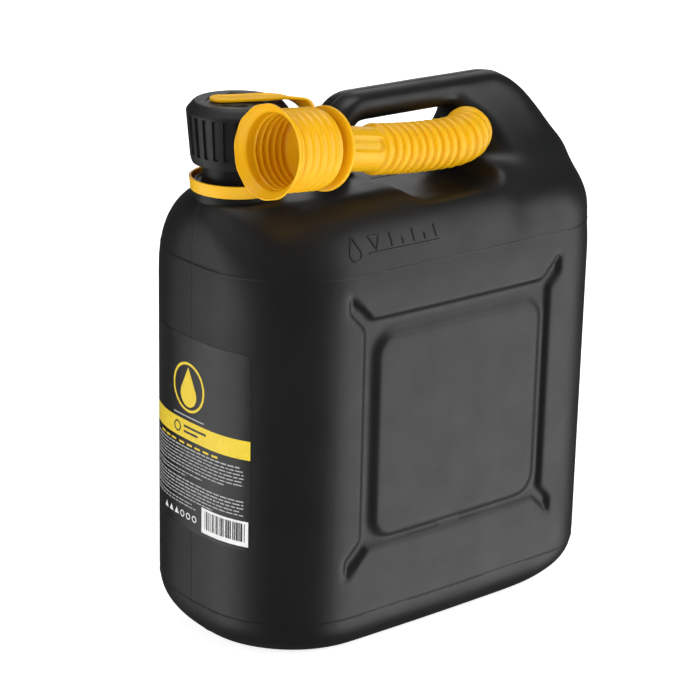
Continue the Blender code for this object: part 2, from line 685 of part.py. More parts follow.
def main():
    for obj in list(bpy.data.objects):
        bpy.data.objects.remove(obj)
    parts = collection("jerry_can")
    tools = collection("cutters")
    tools.hide_render = True
    black = material("black_plastic", (0.020, 0.021, 0.022), 0.42)
    cap_black = material("cap_plastic", (0.028, 0.029, 0.030), 0.50)
    yellow = material("yellow_plastic", (0.78, 0.40, 0.015), 0.38)
    rubber = material("seal_rubber", (0.06, 0.06, 0.06), 0.80)
    film = material("label_film", (0.05, 0.05, 0.05), 0.30)
    build_can(parts, tools, black)
    build_label(parts, film)
    moving = (build_neck_ring(parts, yellow), build_seal(parts, rubber),
              build_inner_cap(parts, tools, cap_black), build_shell(parts, tools, cap_black),
              build_strap(parts, tools, yellow), build_spout(parts, yellow))
    cap_axis = bpy.data.objects.new("cap_axis", None)
    parts.objects.link(cap_axis)
    cap_axis.location = (NECK_X, 0.0, 0.0)
    for cutter in tools.objects:
        cutter.display_type = "WIRE"
        cutter.hide_render = True
    bpy.context.view_layer.update()
    for piece in moving:
        piece.parent = cap_axis
        piece.matrix_parent_inverse = cap_axis.matrix_world.inverted()


main()
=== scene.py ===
"""Looks of the ten litre jerry can: fine meshes and procedural materials around the CAD frame.

Metres, +Z up, in the frame's own axes: the neck at -X, the handle's rear leg at +X, and the
spout on the -Y side.  The can's skin is the zero level of a distance field, because a blow
moulding is one soft form; the pieces moulded in steel tools are turned or swept.
"""

import json
import math

import bmesh
import bpy
import numpy as np
import openvdb
from mathutils import Matrix, Vector
from mathutils.bvhtree import BVHTree

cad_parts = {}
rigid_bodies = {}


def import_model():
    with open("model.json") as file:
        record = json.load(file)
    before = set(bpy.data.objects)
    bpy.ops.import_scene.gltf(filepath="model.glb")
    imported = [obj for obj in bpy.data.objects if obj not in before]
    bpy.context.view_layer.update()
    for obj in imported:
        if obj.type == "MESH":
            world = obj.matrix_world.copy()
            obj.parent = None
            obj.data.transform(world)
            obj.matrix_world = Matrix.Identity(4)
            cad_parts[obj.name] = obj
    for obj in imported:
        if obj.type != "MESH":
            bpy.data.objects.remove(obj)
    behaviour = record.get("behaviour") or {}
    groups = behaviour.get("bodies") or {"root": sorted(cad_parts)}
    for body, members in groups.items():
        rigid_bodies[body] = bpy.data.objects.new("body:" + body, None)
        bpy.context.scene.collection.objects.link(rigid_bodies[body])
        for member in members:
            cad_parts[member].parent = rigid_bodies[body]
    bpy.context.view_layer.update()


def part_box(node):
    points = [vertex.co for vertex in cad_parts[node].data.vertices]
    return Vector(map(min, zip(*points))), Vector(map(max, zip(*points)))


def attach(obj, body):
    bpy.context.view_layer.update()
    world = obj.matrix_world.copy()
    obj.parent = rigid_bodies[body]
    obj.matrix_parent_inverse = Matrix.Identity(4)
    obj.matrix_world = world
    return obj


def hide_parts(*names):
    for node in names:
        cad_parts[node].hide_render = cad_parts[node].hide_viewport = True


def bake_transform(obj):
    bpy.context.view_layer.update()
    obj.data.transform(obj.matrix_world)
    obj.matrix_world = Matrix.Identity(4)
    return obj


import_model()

# ---- dimensions, from the frame where it holds them ------------------------------------------
SHELL_LOW, SHELL_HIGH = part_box("cap_shell")
RING_LOW, RING_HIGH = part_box("neck_ring")
LABEL_LOW, LABEL_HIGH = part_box("front_label")

BODY_LENGTH = 0.2768
BODY_WIDTH = 0.1552
BAR_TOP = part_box("can_body")[1].z  # top of the handle
BAR_BOTTOM = 0.3155
FRONT_BULGE = 0.0026
FRONT_BULGE_SPREAD = 0.036
FRONT_TRIM = 0.0008
SIDE_BULGE = 0.0012
SIDE_BULGE_SPREAD = 0.075
NECK = (RING_LOW + RING_HIGH) / 2
NECK_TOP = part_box("cap_seal")[0].z - 0.0003

FRONT_CORNER = 0.0585        # plan radius of the two corners under the neck
REAR_CORNER = 0.0485
FOOT_INSET = 0.026           # width of the rounding round the flat underside
FOOT_HEIGHT = 0.028
FOOT_REAR = 1.6              # the rear end's rounding reaches this much further in
SHOULDER_START = 0.230
SHOULDER_HEIGHT = 0.054
SHOULDER_SIDE = 0.038        # how far the long sides lean in
SHOULDER_FRONT = 0.0134
SHOULDER_NOSE = 0.034
DECK = 0.2838                # height of the flat top between the neck and the handle

PANEL_X = (-0.0722, 0.0790)  # outer edge of the recess in the long sides
PANEL_Z = (0.0695, 0.2178)
PILLOW_X = (-0.0590, 0.0686)
PILLOW_Z = (0.0773, 0.2032)
ARM_END_X = (-0.0838, 0.0880)
ARM_HALF_WIDTH = 0.0054
RECESS_DEPTH = 0.0030
SEAM_HEIGHTS = (0.0282, 0.2448)

SCOOP_X = (-0.024, 0.062)
SCOOP_FLOOR = 0.2755         # lowest point of the hollow under the handle
SCOOP_TOP = 0.3035
SCOOP_RISE = 0.0135          # how far the hollow curls up at its ends
SCOOP_CURL = 8
PITCH = 0.0015               # grid spacing of the can's distance field

NECK_X = NECK.x
FLUTES = 27
STUD_HOLE = 0.0042
SHELL_FOOT, SHELL_TOP = SHELL_LOW.z, SHELL_HIGH.z

# The spout: its centre line and the distances from its rim at which its parts begin.
SPOUT_LINE = ((-0.1300, -0.0570, 0.3228), (-0.0870, -0.0535, 0.3180), (-0.0470, -0.0490, 0.3109),
              (-0.0150, -0.0452, 0.3064), (0.0080, -0.0432, 0.3045), (0.0240, -0.0422, 0.3041),
              (0.0355, -0.0392, 0.3046), (0.0440, -0.0334, 0.3051), (0.0488, -0.0258, 0.3040),
              (0.0496, -0.0155, 0.2988), (0.0480, -0.0042, 0.2938), (0.0460, 0.0054, 0.2898))
SPOUT_WALL = 0.0018
RIM_RADIUS = 0.0274
CUP_RADIUS = 0.0240
TUBE_RADIUS = 0.0133
BELLOWS_RADIUS = 0.0154
BELLOWS_PITCH = 0.0070
BELLOWS_DEPTH = 0.0020
BELLOWS_START = 0.0920
BELLOWS_END = 0.1838
NOZZLE_START = 0.1902
NOZZLE_RADIUS = 0.0098
COLLAR_STATION = 0.0447
COLLAR_RADIUS = 0.0248
COLLAR_THICKNESS = 0.0022


# ---- numeric helpers --------------------------------------------------------------------------
def ramp(value):
    """Smooth step from 0 to 1 as value goes from 0 to 1."""
    t = np.clip(value, 0.0, 1.0)
    return t * t * (3 - 2 * t)


def smooth_table(table, spread=0.003, step=0.0005):
    """Reading function for (position, value) pairs, with its corners softened."""
    places = np.array([row[0] for row in table])
    values = np.array([row[1] for row in table])
    fine = np.arange(places[0] - 4 * spread, places[-1] + 4 * spread, step)
    reach = np.arange(-3 * spread, 3 * spread + step, step)
    weights = np.exp(-(reach / spread) ** 2)
    weights /= weights.sum()
    padded = np.interp(fine[:, None] + reach[None, :], places, values)
    soft = padded @ weights
    return lambda at: np.interp(at, fine, soft)


def blurred(field, spread):
    """Gaussian blur of a 3-D grid; spread is in metres."""
    reach = int(math.ceil(2.5 * spread / PITCH))
    weights = np.exp(-0.5 * (np.arange(-reach, reach + 1) * PITCH / spread) ** 2)
    weights /= weights.sum()
    for axis in range(3):
        padding = [(reach, reach) if a == axis else (0, 0) for a in range(3)]
        padded = np.pad(field, padding, mode="edge")
        total = np.zeros_like(field)
        for k, weight in enumerate(weights):
            window = [slice(None)] * 3
            window[axis] = slice(k, k + field.shape[axis])
            total += weight * padded[tuple(window)]
        field = total
    return field


def levelled(field):
    """Scale a field so that its slope is about one everywhere."""
    slopes = np.gradient(field, PITCH)
    steepness = np.sqrt(sum(s * s for s in slopes))
    return field / np.clip(steepness, 0.25, None)


def spline(points, steps):
    """Catmull-Rom curve through points, with steps pieces in each span."""
    path = [Vector(p) for p in points]
    path = [path[0] * 2 - path[1], *path, path[-1] * 2 - path[-2]]
    out = []
    for i in range(1, len(path) - 2):
        a, b, c, d = path[i - 1:i + 3]
        for k in range(steps):
            t = k / steps
            out.append(0.5 * (2 * b + (c - a) * t + (2 * a - 5 * b + 4 * c - d) * t ** 2
                              + (3 * b - a - 3 * c + d) * t ** 3))
    out.append(path[-2])
    return out


# ---- mesh helpers -----------------------------------------------------------------------------
def new_object(name, mesh, mat=None):
    obj = bpy.data.objects.new(name, mesh)
    bpy.context.scene.collection.objects.link(obj)
    if mat:
        obj.data.materials.append(mat)
    return obj


def mesh_from(name, points, faces):
    mesh = bpy.data.meshes.new(name)
    mesh.from_pydata([tuple(p) for p in points], [], [tuple(int(i) for i in f) for f in faces])
    mesh.validate()
    mesh.update()
    return mesh


def grid_faces(rows, columns, wrap_rows=False, wrap_columns=True):
    """Quads of a rows x columns sheet of points, numbered row by row."""
    faces = []
    for i in range(rows if wrap_rows else rows - 1):
        for j in range(columns if wrap_columns else columns - 1):
            i2, j2 = (i + 1) % rows, (j + 1) % columns
            faces.append((i * columns + j, i * columns + j2, i2 * columns + j2, i2 * columns + j))
    return faces


def outward(mesh):
    bm = bmesh.new()
    bm.from_mesh(mesh)
    bmesh.ops.recalc_face_normals(bm, faces=bm.faces)
    bm.to_mesh(mesh)
    bm.free()


def smooth(obj, angle=40):
    obj.data.shade_smooth()
    if angle < 180:
        obj.data.set_sharp_from_angle(angle=math.radians(angle))
    return obj


def apply_modifiers(obj):
    depsgraph = bpy.context.evaluated_depsgraph_get()
    result = bpy.data.meshes.new_from_object(obj.evaluated_get(depsgraph))
    obj.modifiers.clear()
    obj.data = result
    return obj


def boolean(target, other, operation):
    mod = target.modifiers.new(operation.lower(), "BOOLEAN")
    mod.object = other
    mod.operation = operation
    mod.solver = "EXACT"
    apply_modifiers(target)
    bpy.data.objects.remove(other)
    return target


def sweep(name, path, radii, sides, mat=None):
    """Closed round bar through the points, with one radius at each."""
    rows = []
    side = Vector((0.01, 0.02, 1)).normalized()
    for i, point in enumerate(path):
        ahead = (path[min(i + 1, len(path) - 1)] - path[max(i - 1, 0)]).normalized()
        side = (side - ahead * side.dot(ahead)).normalized()
        across = ahead.cross(side)
        for k in range(sides):
            turn = 2 * math.pi * k / sides
            rows.append(point + (side * math.cos(turn) + across * math.sin(turn)) * radii[i])
    faces = grid_faces(len(path), sides)
    faces.append(tuple(range(sides)))
    faces.append(tuple(range((len(path) - 1) * sides, len(path) * sides)))
    obj = new_object(name, mesh_from(name, rows, faces), mat)
    outward(obj.data)
    return obj


def filleted(points, radius, steps=4):
    """Closed outline with each corner rounded; radius is one size for all or one per point."""
    out = []
    count = len(points)
    for i in range(count):
        size = radius[i] if isinstance(radius, (list, tuple)) else radius
        here = Vector(points[i])
        before, after = Vector(points[i - 1]) - here, Vector(points[(i + 1) % count]) - here
        if size <= 0:
            out.append(here)
            continue
        start = here + before.normalized() * min(size, before.length * 0.45)
        end = here + after.normalized() * min(size, after.length * 0.45)
        for k in range(steps + 1):
            t = k / steps
            out.append(start * (1 - t) ** 2 + here * (2 * t * (1 - t)) + end * t ** 2)
    return out


def turned(name, profile, steps, mat, angles=None, wave=None):
    """Solid turned about the neck's axis from a loop of (r, z); wave gives a radius offset."""
    angles = angles or [2 * math.pi * k / steps for k in range(steps)]
    points = []
    for r, z in profile:
        for turn in angles:
            out = r + (wave(turn, r, z) if wave else 0.0)
            points.append((NECK_X + out * math.cos(turn), out * math.sin(turn), z))
    faces = grid_faces(len(profile), len(angles), wrap_rows=True)
    obj = new_object(name, mesh_from(name, points, faces), mat)
    outward(obj.data)
    return obj


# ---- materials --------------------------------------------------------------------------------
def map_range(owner, value, start, end, low, high, kind="LINEAR"):
    node = owner.nodes.new("ShaderNodeMapRange")
    node.interpolation_type = kind
    node.inputs["From Min"].default_value = start
    node.inputs["From Max"].default_value = end
    node.inputs["To Min"].default_value = low
    node.inputs["To Max"].default_value = high
    owner.links.new(value, node.inputs["Value"])
    return node.outputs["Result"]


class Shader:
    """One Principled material with the noise helpers that every plastic here uses."""

    def __init__(self, name):
        self.mat = bpy.data.materials.new(name)
        self.mat.use_nodes = True
        self.nodes = self.mat.node_tree.nodes
        self.links = self.mat.node_tree.links
        self.bsdf = self.nodes["Principled BSDF"]
        self.place = self.nodes.new("ShaderNodeTexCoord")

    def set(self, **values):
        for key, value in values.items():
            self.bsdf.inputs[key.replace("_", " ")].default_value = value
        return self

    def noise(self, scale, detail=4.0, roughness=0.55):
        node = self.nodes.new("ShaderNodeTexNoise")
        node.inputs["Scale"].default_value = scale
        node.inputs["Detail"].default_value = detail
        node.inputs["Roughness"].default_value = roughness
        self.links.new(self.place.outputs["Object"], node.inputs["Vector"])
        return node.outputs["Fac"]

    def ranged(self, fac, low, high, start=0.3, end=0.7):
        return map_range(self, fac, start, end, low, high)

    def colours(self, fac, first, second, start=0.3, end=0.7):
        node = self.nodes.new("ShaderNodeMix")
        node.data_type = "RGBA"
        node.inputs["A"].default_value = (*first, 1.0)
        node.inputs["B"].default_value = (*second, 1.0)
        self.links.new(self.ranged(fac, 0.0, 1.0, start, end), node.inputs["Factor"])
        self.links.new(node.outputs["Result"], self.bsdf.inputs["Base Color"])
        return node

    def roughness(self, fac, low, high):
        self.links.new(self.ranged(fac, low, high), self.bsdf.inputs["Roughness"])
        return self

    def bump(self, *layers):
        """Stack of (height, strength, distance in metres)."""
        normal = None
        for height, strength, distance in layers:
            node = self.nodes.new("ShaderNodeBump")
            node.inputs["Strength"].default_value = strength
            node.inputs["Distance"].default_value = distance
            self.links.new(height, node.inputs["Height"])
            if normal:
                self.links.new(normal, node.inputs["Normal"])
            normal = node.outputs["Normal"]
        self.links.new(normal, self.bsdf.inputs["Normal"])
        return self


def black_polyethylene():
    """Blow-moulded black: satin, a little uneven, with a faint grain from the mould."""
    shader = Shader("black_polyethylene")
    shader.set(IOR=1.50, Specular_IOR_Level=0.42)
    shader.colours(shader.noise(14.0, 6.0), (0.0060, 0.0064, 0.0069), (0.0085, 0.0089, 0.0094))
    shader.roughness(shader.noise(38.0, 8.0, 0.65), 0.36, 0.46)
    shader.bump((shader.noise(55.0, 2.0), 0.10, 0.0006), (shader.noise(1500.0, 2.0), 0.10, 0.00012))
    return shader.mat


def cap_polypropylene():
    """Injection-moulded black: a fine spark-eroded texture, rubbed smoother in places."""
    shader = Shader("cap_polypropylene")
    shader.set(IOR=1.49)
    shader.colours(shader.noise(60.0, 6.0), (0.0075, 0.0078, 0.0082), (0.0120, 0.0124, 0.0128))
    shader.roughness(shader.noise(160.0, 6.0), 0.40, 0.54)
    shader.bump((shader.noise(2600.0, 3.0), 0.22, 0.00012))
    return shader.mat


def yellow_polyethylene():
    """Thin soft yellow: light passes a little way through it, so hollows glow orange."""
    shader = Shader("yellow_polyethylene")
    shader.set(IOR=1.50, Specular_IOR_Level=0.40, Subsurface_Weight=0.22, Subsurface_Radius=(1.0, 0.45, 0.06),
               Subsurface_Scale=0.0025)
    shader.colours(shader.noise(30.0, 5.0), (0.78, 0.410, 0.003), (0.84, 0.455, 0.005))
    shader.roughness(shader.noise(90.0, 6.0), 0.30, 0.42)
    shader.bump((shader.noise(300.0, 3.0), 0.06, 0.0002), (shader.noise(1800.0, 2.0), 0.06, 0.0001))
    return shader.mat


def label_vinyl():
    """Dark glossy film, faintly creased, with dust-fine scuffs."""
    shader = Shader("label_vinyl")
    shader.set(IOR=1.48, Specular_IOR_Level=0.42)
    shader.colours(shader.noise(45.0, 5.0), (0.009, 0.009, 0.0095), (0.014, 0.014, 0.0145))
    shader.roughness(shader.noise(70.0, 8.0, 0.7), 0.16, 0.30)
    shader.bump((shader.noise(22.0, 2.0), 0.20, 0.0010), (shader.noise(260.0, 3.0), 0.08, 0.0001))
    return shader.mat


def ink(name, colour, spread=0.88):
    """Printed ink, a little uneven, with the film's gloss."""
    shader = Shader(name)
    shader.set(IOR=1.48)
    shader.colours(shader.noise(400.0, 4.0), tuple(c * spread for c in colour), colour)
    shader.roughness(shader.noise(90.0, 6.0), 0.24, 0.38)
    shader.bump((shader.noise(22.0, 2.0), 0.20, 0.0010))
    return shader.mat


def seal_rubber():
    shader = Shader("seal_rubber_look")
    shader.colours(shader.noise(120.0, 5.0), (0.030, 0.029, 0.028), (0.050, 0.048, 0.046))
    shader.roughness(shader.noise(200.0, 5.0), 0.62, 0.82)
    shader.bump((shader.noise(900.0, 3.0), 0.25, 0.0002))
    return shader.mat


def dress_hidden_nodes(cap_mat, rubber):
    """The two CAD pieces inside the cap are kept as they are and get the same kinds of surface."""
    for node, mat in (("inner_cap", cap_mat), ("cap_seal", rubber)):
        for obj in bpy.data.objects:
            if obj.name == node and obj.type == "MESH":
                for slot in obj.material_slots:
                    slot.material = mat


# ---- the can's skin ---------------------------------------------------------------------------
def rounded_corner(u, v, radius_u, radius_v):
    """Signed distance past an elliptical corner; u and v are distances past its centre."""
    a = np.maximum(u, 0.0)
    b = np.maximum(v, 0.0)
    near = np.sqrt((a / radius_u) ** 2 + (b / radius_v) ** 2)
    slope = np.sqrt((a / radius_u ** 2) ** 2 + (b / radius_v ** 2) ** 2)
    curved = near * (near - 1) / np.maximum(slope, 1e-9)
    inside = np.maximum(u - radius_u, v - radius_v)
    return np.where((u > 0) | (v > 0), curved, inside)


def plan(x, y, front, rear, half, front_radii, rear_radius):
    """Signed distance to a rounded rectangle seen from above, negative inside."""
    middle = (front + rear) / 2
    across = np.abs(y) - half
    ahead = rounded_corner(front + front_radii[0] - x, across + front_radii[1], *front_radii)
    behind = rounded_corner(x - rear + rear_radius, across + rear_radius, rear_radius, rear_radius)
    return np.where(x < middle, ahead, behind)


def block_field(x, y, z):
    """Main block: upright walls, rounded foot and a shoulder that leans in towards the deck."""
    climb = np.clip((z - SHOULDER_START) / SHOULDER_HEIGHT, 0.0, 0.9945)
    lean = 1 - np.sqrt(1 - climb ** 2)
    sink = np.clip(1 - z / FOOT_HEIGHT, 0.0, 0.9995)
    foot = FOOT_INSET * (1 - np.sqrt(1 - sink ** 2))
    bow = FRONT_BULGE * np.exp(-(y / FRONT_BULGE_SPREAD) ** 2) - FRONT_TRIM
    swell = SIDE_BULGE * np.exp(-(x / SIDE_BULGE_SPREAD) ** 2)
    front = -BODY_LENGTH / 2 + SHOULDER_FRONT * lean ** 2.5 + foot - bow
    rear = BODY_LENGTH / 2 - SHOULDER_SIDE * lean - foot * FOOT_REAR
    half = BODY_WIDTH / 2 - SHOULDER_SIDE * lean - foot + swell
    side = np.minimum(half * 0.92, FRONT_CORNER + 0.004 * lean)
    nose = FRONT_CORNER + SHOULDER_NOSE * lean
    back = np.minimum(REAR_CORNER, half * 0.92)
    wall = plan(x, y, front, rear, half, (nose, side), back)
    pull = SHOULDER_SIDE * climb / (SHOULDER_HEIGHT * np.sqrt(1 - climb ** 2))
    pull = pull + FOOT_INSET * sink / (FOOT_HEIGHT * np.sqrt(1 - sink ** 2))
    wall = wall / np.sqrt(1 + pull ** 2)
    return np.maximum(np.maximum(wall, z - DECK), -z)


# Half width, rear edge and front edge of the rear leg against height.
LEG_WIDTH = ((0.2300, 0.0745), (0.2440, 0.0770), (0.2578, 0.0765), (0.2643, 0.0735), (0.2700, 0.0686),
             (0.2766, 0.0611), (0.2827, 0.0526), (0.2891, 0.0432), (0.2957, 0.0357), (0.3035, 0.0291),
             (0.3106, 0.0235), (0.3170, 0.0190), (0.3226, 0.0160), (0.3273, 0.0143), (0.3310, 0.0120),
             (0.3331, 0.0085))
LEG_REAR = ((0.2300, 0.1345), (0.2440, 0.1378), (0.2891, 0.1375), (0.2957, 0.1324), (0.3035, 0.1277),
            (0.3106, 0.1225), (0.3170, 0.1170), (0.3226, 0.1115), (0.3273, 0.1040), (0.3310, 0.0974),
            (0.3331, 0.0900))
LEG_FRONT = ((0.2300, 0.0100), (0.2766, 0.0300), (0.2840, 0.0600), (0.2891, 0.0640), (0.3060, 0.0640),
             (0.3130, 0.0580), (0.3170, 0.0480), (0.3331, 0.0440))

# How far the front corners of the leg run back, as a share of their width.
LEG_ROUNDING = ((0.2300, 1.5), (0.2800, 1.5), (0.2957, 0.4), (0.3331, 0.4))


def leg_field(x, y, z):
    """Rear leg: a bell that narrows from the can's full width into the grip."""
    half = smooth_table(LEG_WIDTH)(z)
    rear = smooth_table(LEG_REAR)(z)
    front = smooth_table(LEG_FRONT, 0.002)(z)
    length = rear - front
    back = np.minimum(np.minimum(REAR_CORNER, half * 0.9), length * 0.5)
    inner = np.minimum(half * 0.9, 0.030)
    reach = np.minimum(length * 0.4, inner * smooth_table(LEG_ROUNDING)(z))
    wall = plan(x, y, front, rear, half, (reach, inner), back)
    step = 0.001
    narrowing = (smooth_table(LEG_WIDTH)(z - step) - smooth_table(LEG_WIDTH)(z + step)) / (2 * step)
    wall = wall / np.sqrt(1 + narrowing ** 2)
    return np.maximum(np.maximum(wall, z - BAR_TOP), 0.236 - z)


def grip_field(x, y, z):
    """Front leg and grip: a rounded bar that rises behind the neck and runs back."""
    upright, bend, foot_z, rear_x = -0.03625, 0.016, 0.262, 0.088
    middle = (BAR_TOP + BAR_BOTTOM) / 2
    centre_x, centre_z = upright + bend, middle - bend
    round_part = np.hypot(x - centre_x, z - centre_z) - bend
    straight = np.maximum(z - middle, upright - x)
    off = np.where((x < centre_x) & (z > centre_z), round_part, straight)
    half_width, half_height, power = 0.0142, (BAR_TOP - BAR_BOTTOM) / 2, 2.6
    size = (np.abs(y / half_width) ** power + np.abs(off / half_height) ** power) ** (1 / power)
    bar = (size - 1) * half_height
    return np.maximum(np.maximum(bar, foot_z - z), x - rear_x)


def scoop_field(x, y, z):
    """Hollow across the deck that makes room for fingers under the grip."""
    low, high = SCOOP_X
    share = (x - low) / (high - low)
    bottom = SCOOP_FLOOR + SCOOP_RISE * np.abs(2 * share - 1) ** SCOOP_CURL
    return np.maximum(np.maximum(low - x, x - high), np.maximum(bottom - z, z - SCOOP_TOP)) + 0 * y


def arm_distance(x, z, corner, slope, end_x):
    """Distance to the 45 degree band that runs from a panel corner to an upright end."""
    across = (z - corner[1] - slope * (x - corner[0])) / math.sqrt(2)
    outwards = math.copysign(1.0, end_x)
    along = np.maximum(outwards * (x - end_x), outwards * (corner[0] * 0.9 - x))
    return np.maximum(np.abs(across) - ARM_HALF_WIDTH, along)


def recess_depth(x, z):
    """How deep the long sides are pressed in: a moat round a pillow, with an arm at each corner."""
    centre_x, centre_z = sum(PANEL_X) / 2, sum(PANEL_Z) / 2
    moat = np.maximum(np.abs(x - centre_x) - (PANEL_X[1] - PANEL_X[0]) / 2,
                      np.abs(z - centre_z) - (PANEL_Z[1] - PANEL_Z[0]) / 2)
    for end_x, corner_x in zip(ARM_END_X, PANEL_X):
        for corner_z in PANEL_Z:
            slope = math.copysign(1.0, corner_x) * math.copysign(1.0, corner_z - centre_z)
            moat = np.minimum(moat, arm_distance(x, z, (corner_x, corner_z), slope, end_x))
    pillow_x, pillow_z, corner = sum(PILLOW_X) / 2, sum(PILLOW_Z) / 2, 0.012
    u = np.abs(x - pillow_x) - (PILLOW_X[1] - PILLOW_X[0]) / 2 + corner
    v = np.abs(z - pillow_z) - (PILLOW_Z[1] - PILLOW_Z[0]) / 2 + corner
    pillow = np.hypot(np.maximum(u, 0), np.maximum(v, 0)) + np.minimum(np.maximum(u, v), 0) - corner
    step_width, slope_width = 0.0032, 0.0075
    return RECESS_DEPTH * ramp(-moat / step_width) * ramp(pillow / slope_width + 0.15)


def can_field():
    """Distance field of the whole skin on a regular grid, with the grid's lowest corner."""
    low = np.array([-0.1500, -0.0855, -0.0060])
    high = np.array([0.1470, 0.0855, 0.3420])
    counts = np.round((high - low) / PITCH).astype(int)
    x, y, z = (low[a] + PITCH * np.arange(counts[a]) for a in range(3))
    x, y, z = x[:, None, None], y[None, :, None], z[None, None, :]
    field = np.minimum(block_field(x, y, z), leg_field(x, y, z))
    field = blurred(levelled(field), 0.0042)
    field = np.minimum(field, grip_field(x, y, z))
    field = np.maximum(field, -scoop_field(x, y, z))
    field = blurred(levelled(field), 0.0022)
    beside = ramp((np.abs(y) - 0.045) / 0.015)
    field = field + recess_depth(x, z) * beside
    return blurred(field, 0.0007), low


def skin_mesh():
    field, low = can_field()
    grid = openvdb.FloatGrid(background=0.02)
    grid.copyFromArray(field.astype(np.float32))
    points, quads = grid.convertToQuads()
    return mesh_from("can_skin", points * PITCH + low, quads)


def parting_line(mesh, along, place):
    """Low ridge where the halves of the mould met: a cut on each side and a raised line between."""
    half_width, height = 0.00045, 0.00025
    normal = Vector([1.0 if axis == along else 0.0 for axis in range(3)])
    bm = bmesh.new()
    bm.from_mesh(mesh)
    for offset in (-half_width, half_width, 0.0):
        parts = [*bm.verts, *bm.edges, *bm.faces]
        bmesh.ops.bisect_plane(bm, geom=parts, dist=0.00001, plane_co=normal * (place + offset),
                               plane_no=normal)
    bm.normal_update()
    for vert in bm.verts:
        if abs(vert.co[along] - place) < 0.00002:
            out = vert.normal - normal * vert.normal[along]
            vert.co += out * height
    bm.to_mesh(mesh)
    bm.free()


def build_can(mat):
    obj = new_object("can_skin", skin_mesh(), mat)
    outward(obj.data)
    relax = obj.modifiers.new("relax", "SMOOTH")
    relax.factor = 0.5
    relax.iterations = 6
    apply_modifiers(obj)
    surface = BVHTree.FromPolygons([v.co.copy() for v in obj.data.vertices],
                                   [list(p.vertices) for p in obj.data.polygons])
    for height in SEAM_HEIGHTS:
        parting_line(obj.data, 2, height)
    parting_line(obj.data, 1, 0.0)
    smooth(obj, 34)
    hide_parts("can_body")
    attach(obj, "can")
    return surface


def side_point(surface, x, z, lift):
    """Point on the can's -Y side, lifted off the skin."""
    place, normal, *_ = surface.ray_cast(Vector((x, -0.2, z)), Vector((0, 1, 0)))
    return place + normal * lift


def front_point(surface, y, z, lift):
    place, normal, *_ = surface.ray_cast(Vector((-0.25, y, z)), Vector((1, 0, 0)))
    return place + normal * lift


def level_mark():
    """Strokes of a generic fill mark as lists of (x, z): a drop, a triangle and a ticked line."""
    drop_x, drop_z, size, tip_z = -0.0758, 0.2570, 0.0041, 0.2665
    line_z, tick_foot, tick_top, tick_middle, tick_pitch = 0.2560, 0.2578, 0.2650, 0.2615, 0.0085
    turns = [math.radians(a) for a in range(-130, 131, 20)]
    drop = [(drop_x + size * math.sin(a), drop_z - size * math.cos(a)) for a in turns]
    strokes = [[(drop_x, tip_z), *drop, (drop_x, tip_z)],
               [(-0.0640, tick_top), (-0.0560, tick_top), (-0.0600, 0.2575), (-0.0640, tick_top)],
               [(-0.0660, line_z), (-0.0120, line_z)]]
    for k in range(5):
        x = -0.0480 + tick_pitch * k
        strokes.append([(x, tick_foot), (x, tick_top if k % 2 == 0 else tick_middle)])
    return strokes


def fill_mark(surface, mat):
    """The fill mark's strokes as low round beads moulded on the shoulder."""
    radius, lift, spacing, sides = 0.00085, -0.00040, 0.0011, 12
    for number, stroke in enumerate(level_mark()):
        points = []
        for (x0, z0), (x1, z1) in zip(stroke, stroke[1:]):
            count = max(1, round(math.hypot(x1 - x0, z1 - z0) / spacing))
            points += [(x0 + (x1 - x0) * k / count, z0 + (z1 - z0) * k / count) for k in range(count)]
        points.append(stroke[-1])
        path = [side_point(surface, x, z, lift) for x, z in points]
        bead = smooth(sweep(f"fill_mark_{number}", path, [radius] * len(path), sides, mat), 50)
        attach(bead, "can")


# ---- neck and cap -----------------------------------------------------------------------------
def build_neck(mat):
    """Threaded neck on its dished flange, part of the can's moulding."""
    core, crest, bore = 0.0207, 0.0220, 0.0185
    flange_foot, flange_top, flange, dish = 0.2760, 0.2918, 0.0262, 0.0225
    thread_start, thread_pitch, thread_turns = 0.3100, 0.0040, 2.0
    outline = [(bore, NECK_TOP), (core, NECK_TOP), (core, flange_top - 0.0012), (dish, flange_top - 0.0018),
               (flange - 0.0012, flange_top), (flange, flange_top - 0.0008), (flange, flange_foot),
               (bore, flange_foot)]
    profile = filleted(outline, [0.0005, 0.0006, 0.0012, 0.0010, 0.0008, 0.0006, 0.0, 0.0])
    neck = smooth(turned("can_neck", profile, 96, mat))
    path, radii = [], []
    steps = 40
    for k in range(int(steps * thread_turns) + 1):
        turn = 2 * math.pi * k / steps
        path.append(Vector((NECK_X + core * math.cos(turn), core * math.sin(turn),
                            thread_start + thread_pitch * k / steps)))
        fade = min(1.0, 0.35 + k / 6, 0.35 + (steps * thread_turns - k) / 6)
        radii.append((crest - core) * fade)
    lead = smooth(sweep("neck_thread", path, radii, 10, mat))
    for piece in (neck, lead):
        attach(piece, "can")


def build_ring(mat):
    low, high = RING_LOW.z, RING_HIGH.z
    inner = 0.0266
    wall = (RING_HIGH.x - RING_LOW.x) / 2
    outline = [(inner + 0.0004, high), (wall, high), (wall - 0.0004, high - 0.0016), (wall - 0.0011, low),
               (inner, low)]
    profile = filleted(outline, [0.0005, 0.0006, 0.0006, 0.0005, 0.0003])
    ring = smooth(turned("neck_collar", profile, 128, mat))
    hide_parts("neck_ring")
    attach(ring, "ring")


# Outside of the cap's shell against height, up to the edge of its flat top.
SHELL_SIDE = ((0.3025, 0.0265), (0.3028, 0.0269), (0.3062, 0.0278), (0.3330, 0.0303), (0.3340, 0.0301),
              (0.3384, 0.0263), (0.3390, 0.0252))
FLUTE_Z = (0.3082, 0.3322)
FLUTE_DEPTH = 0.0014


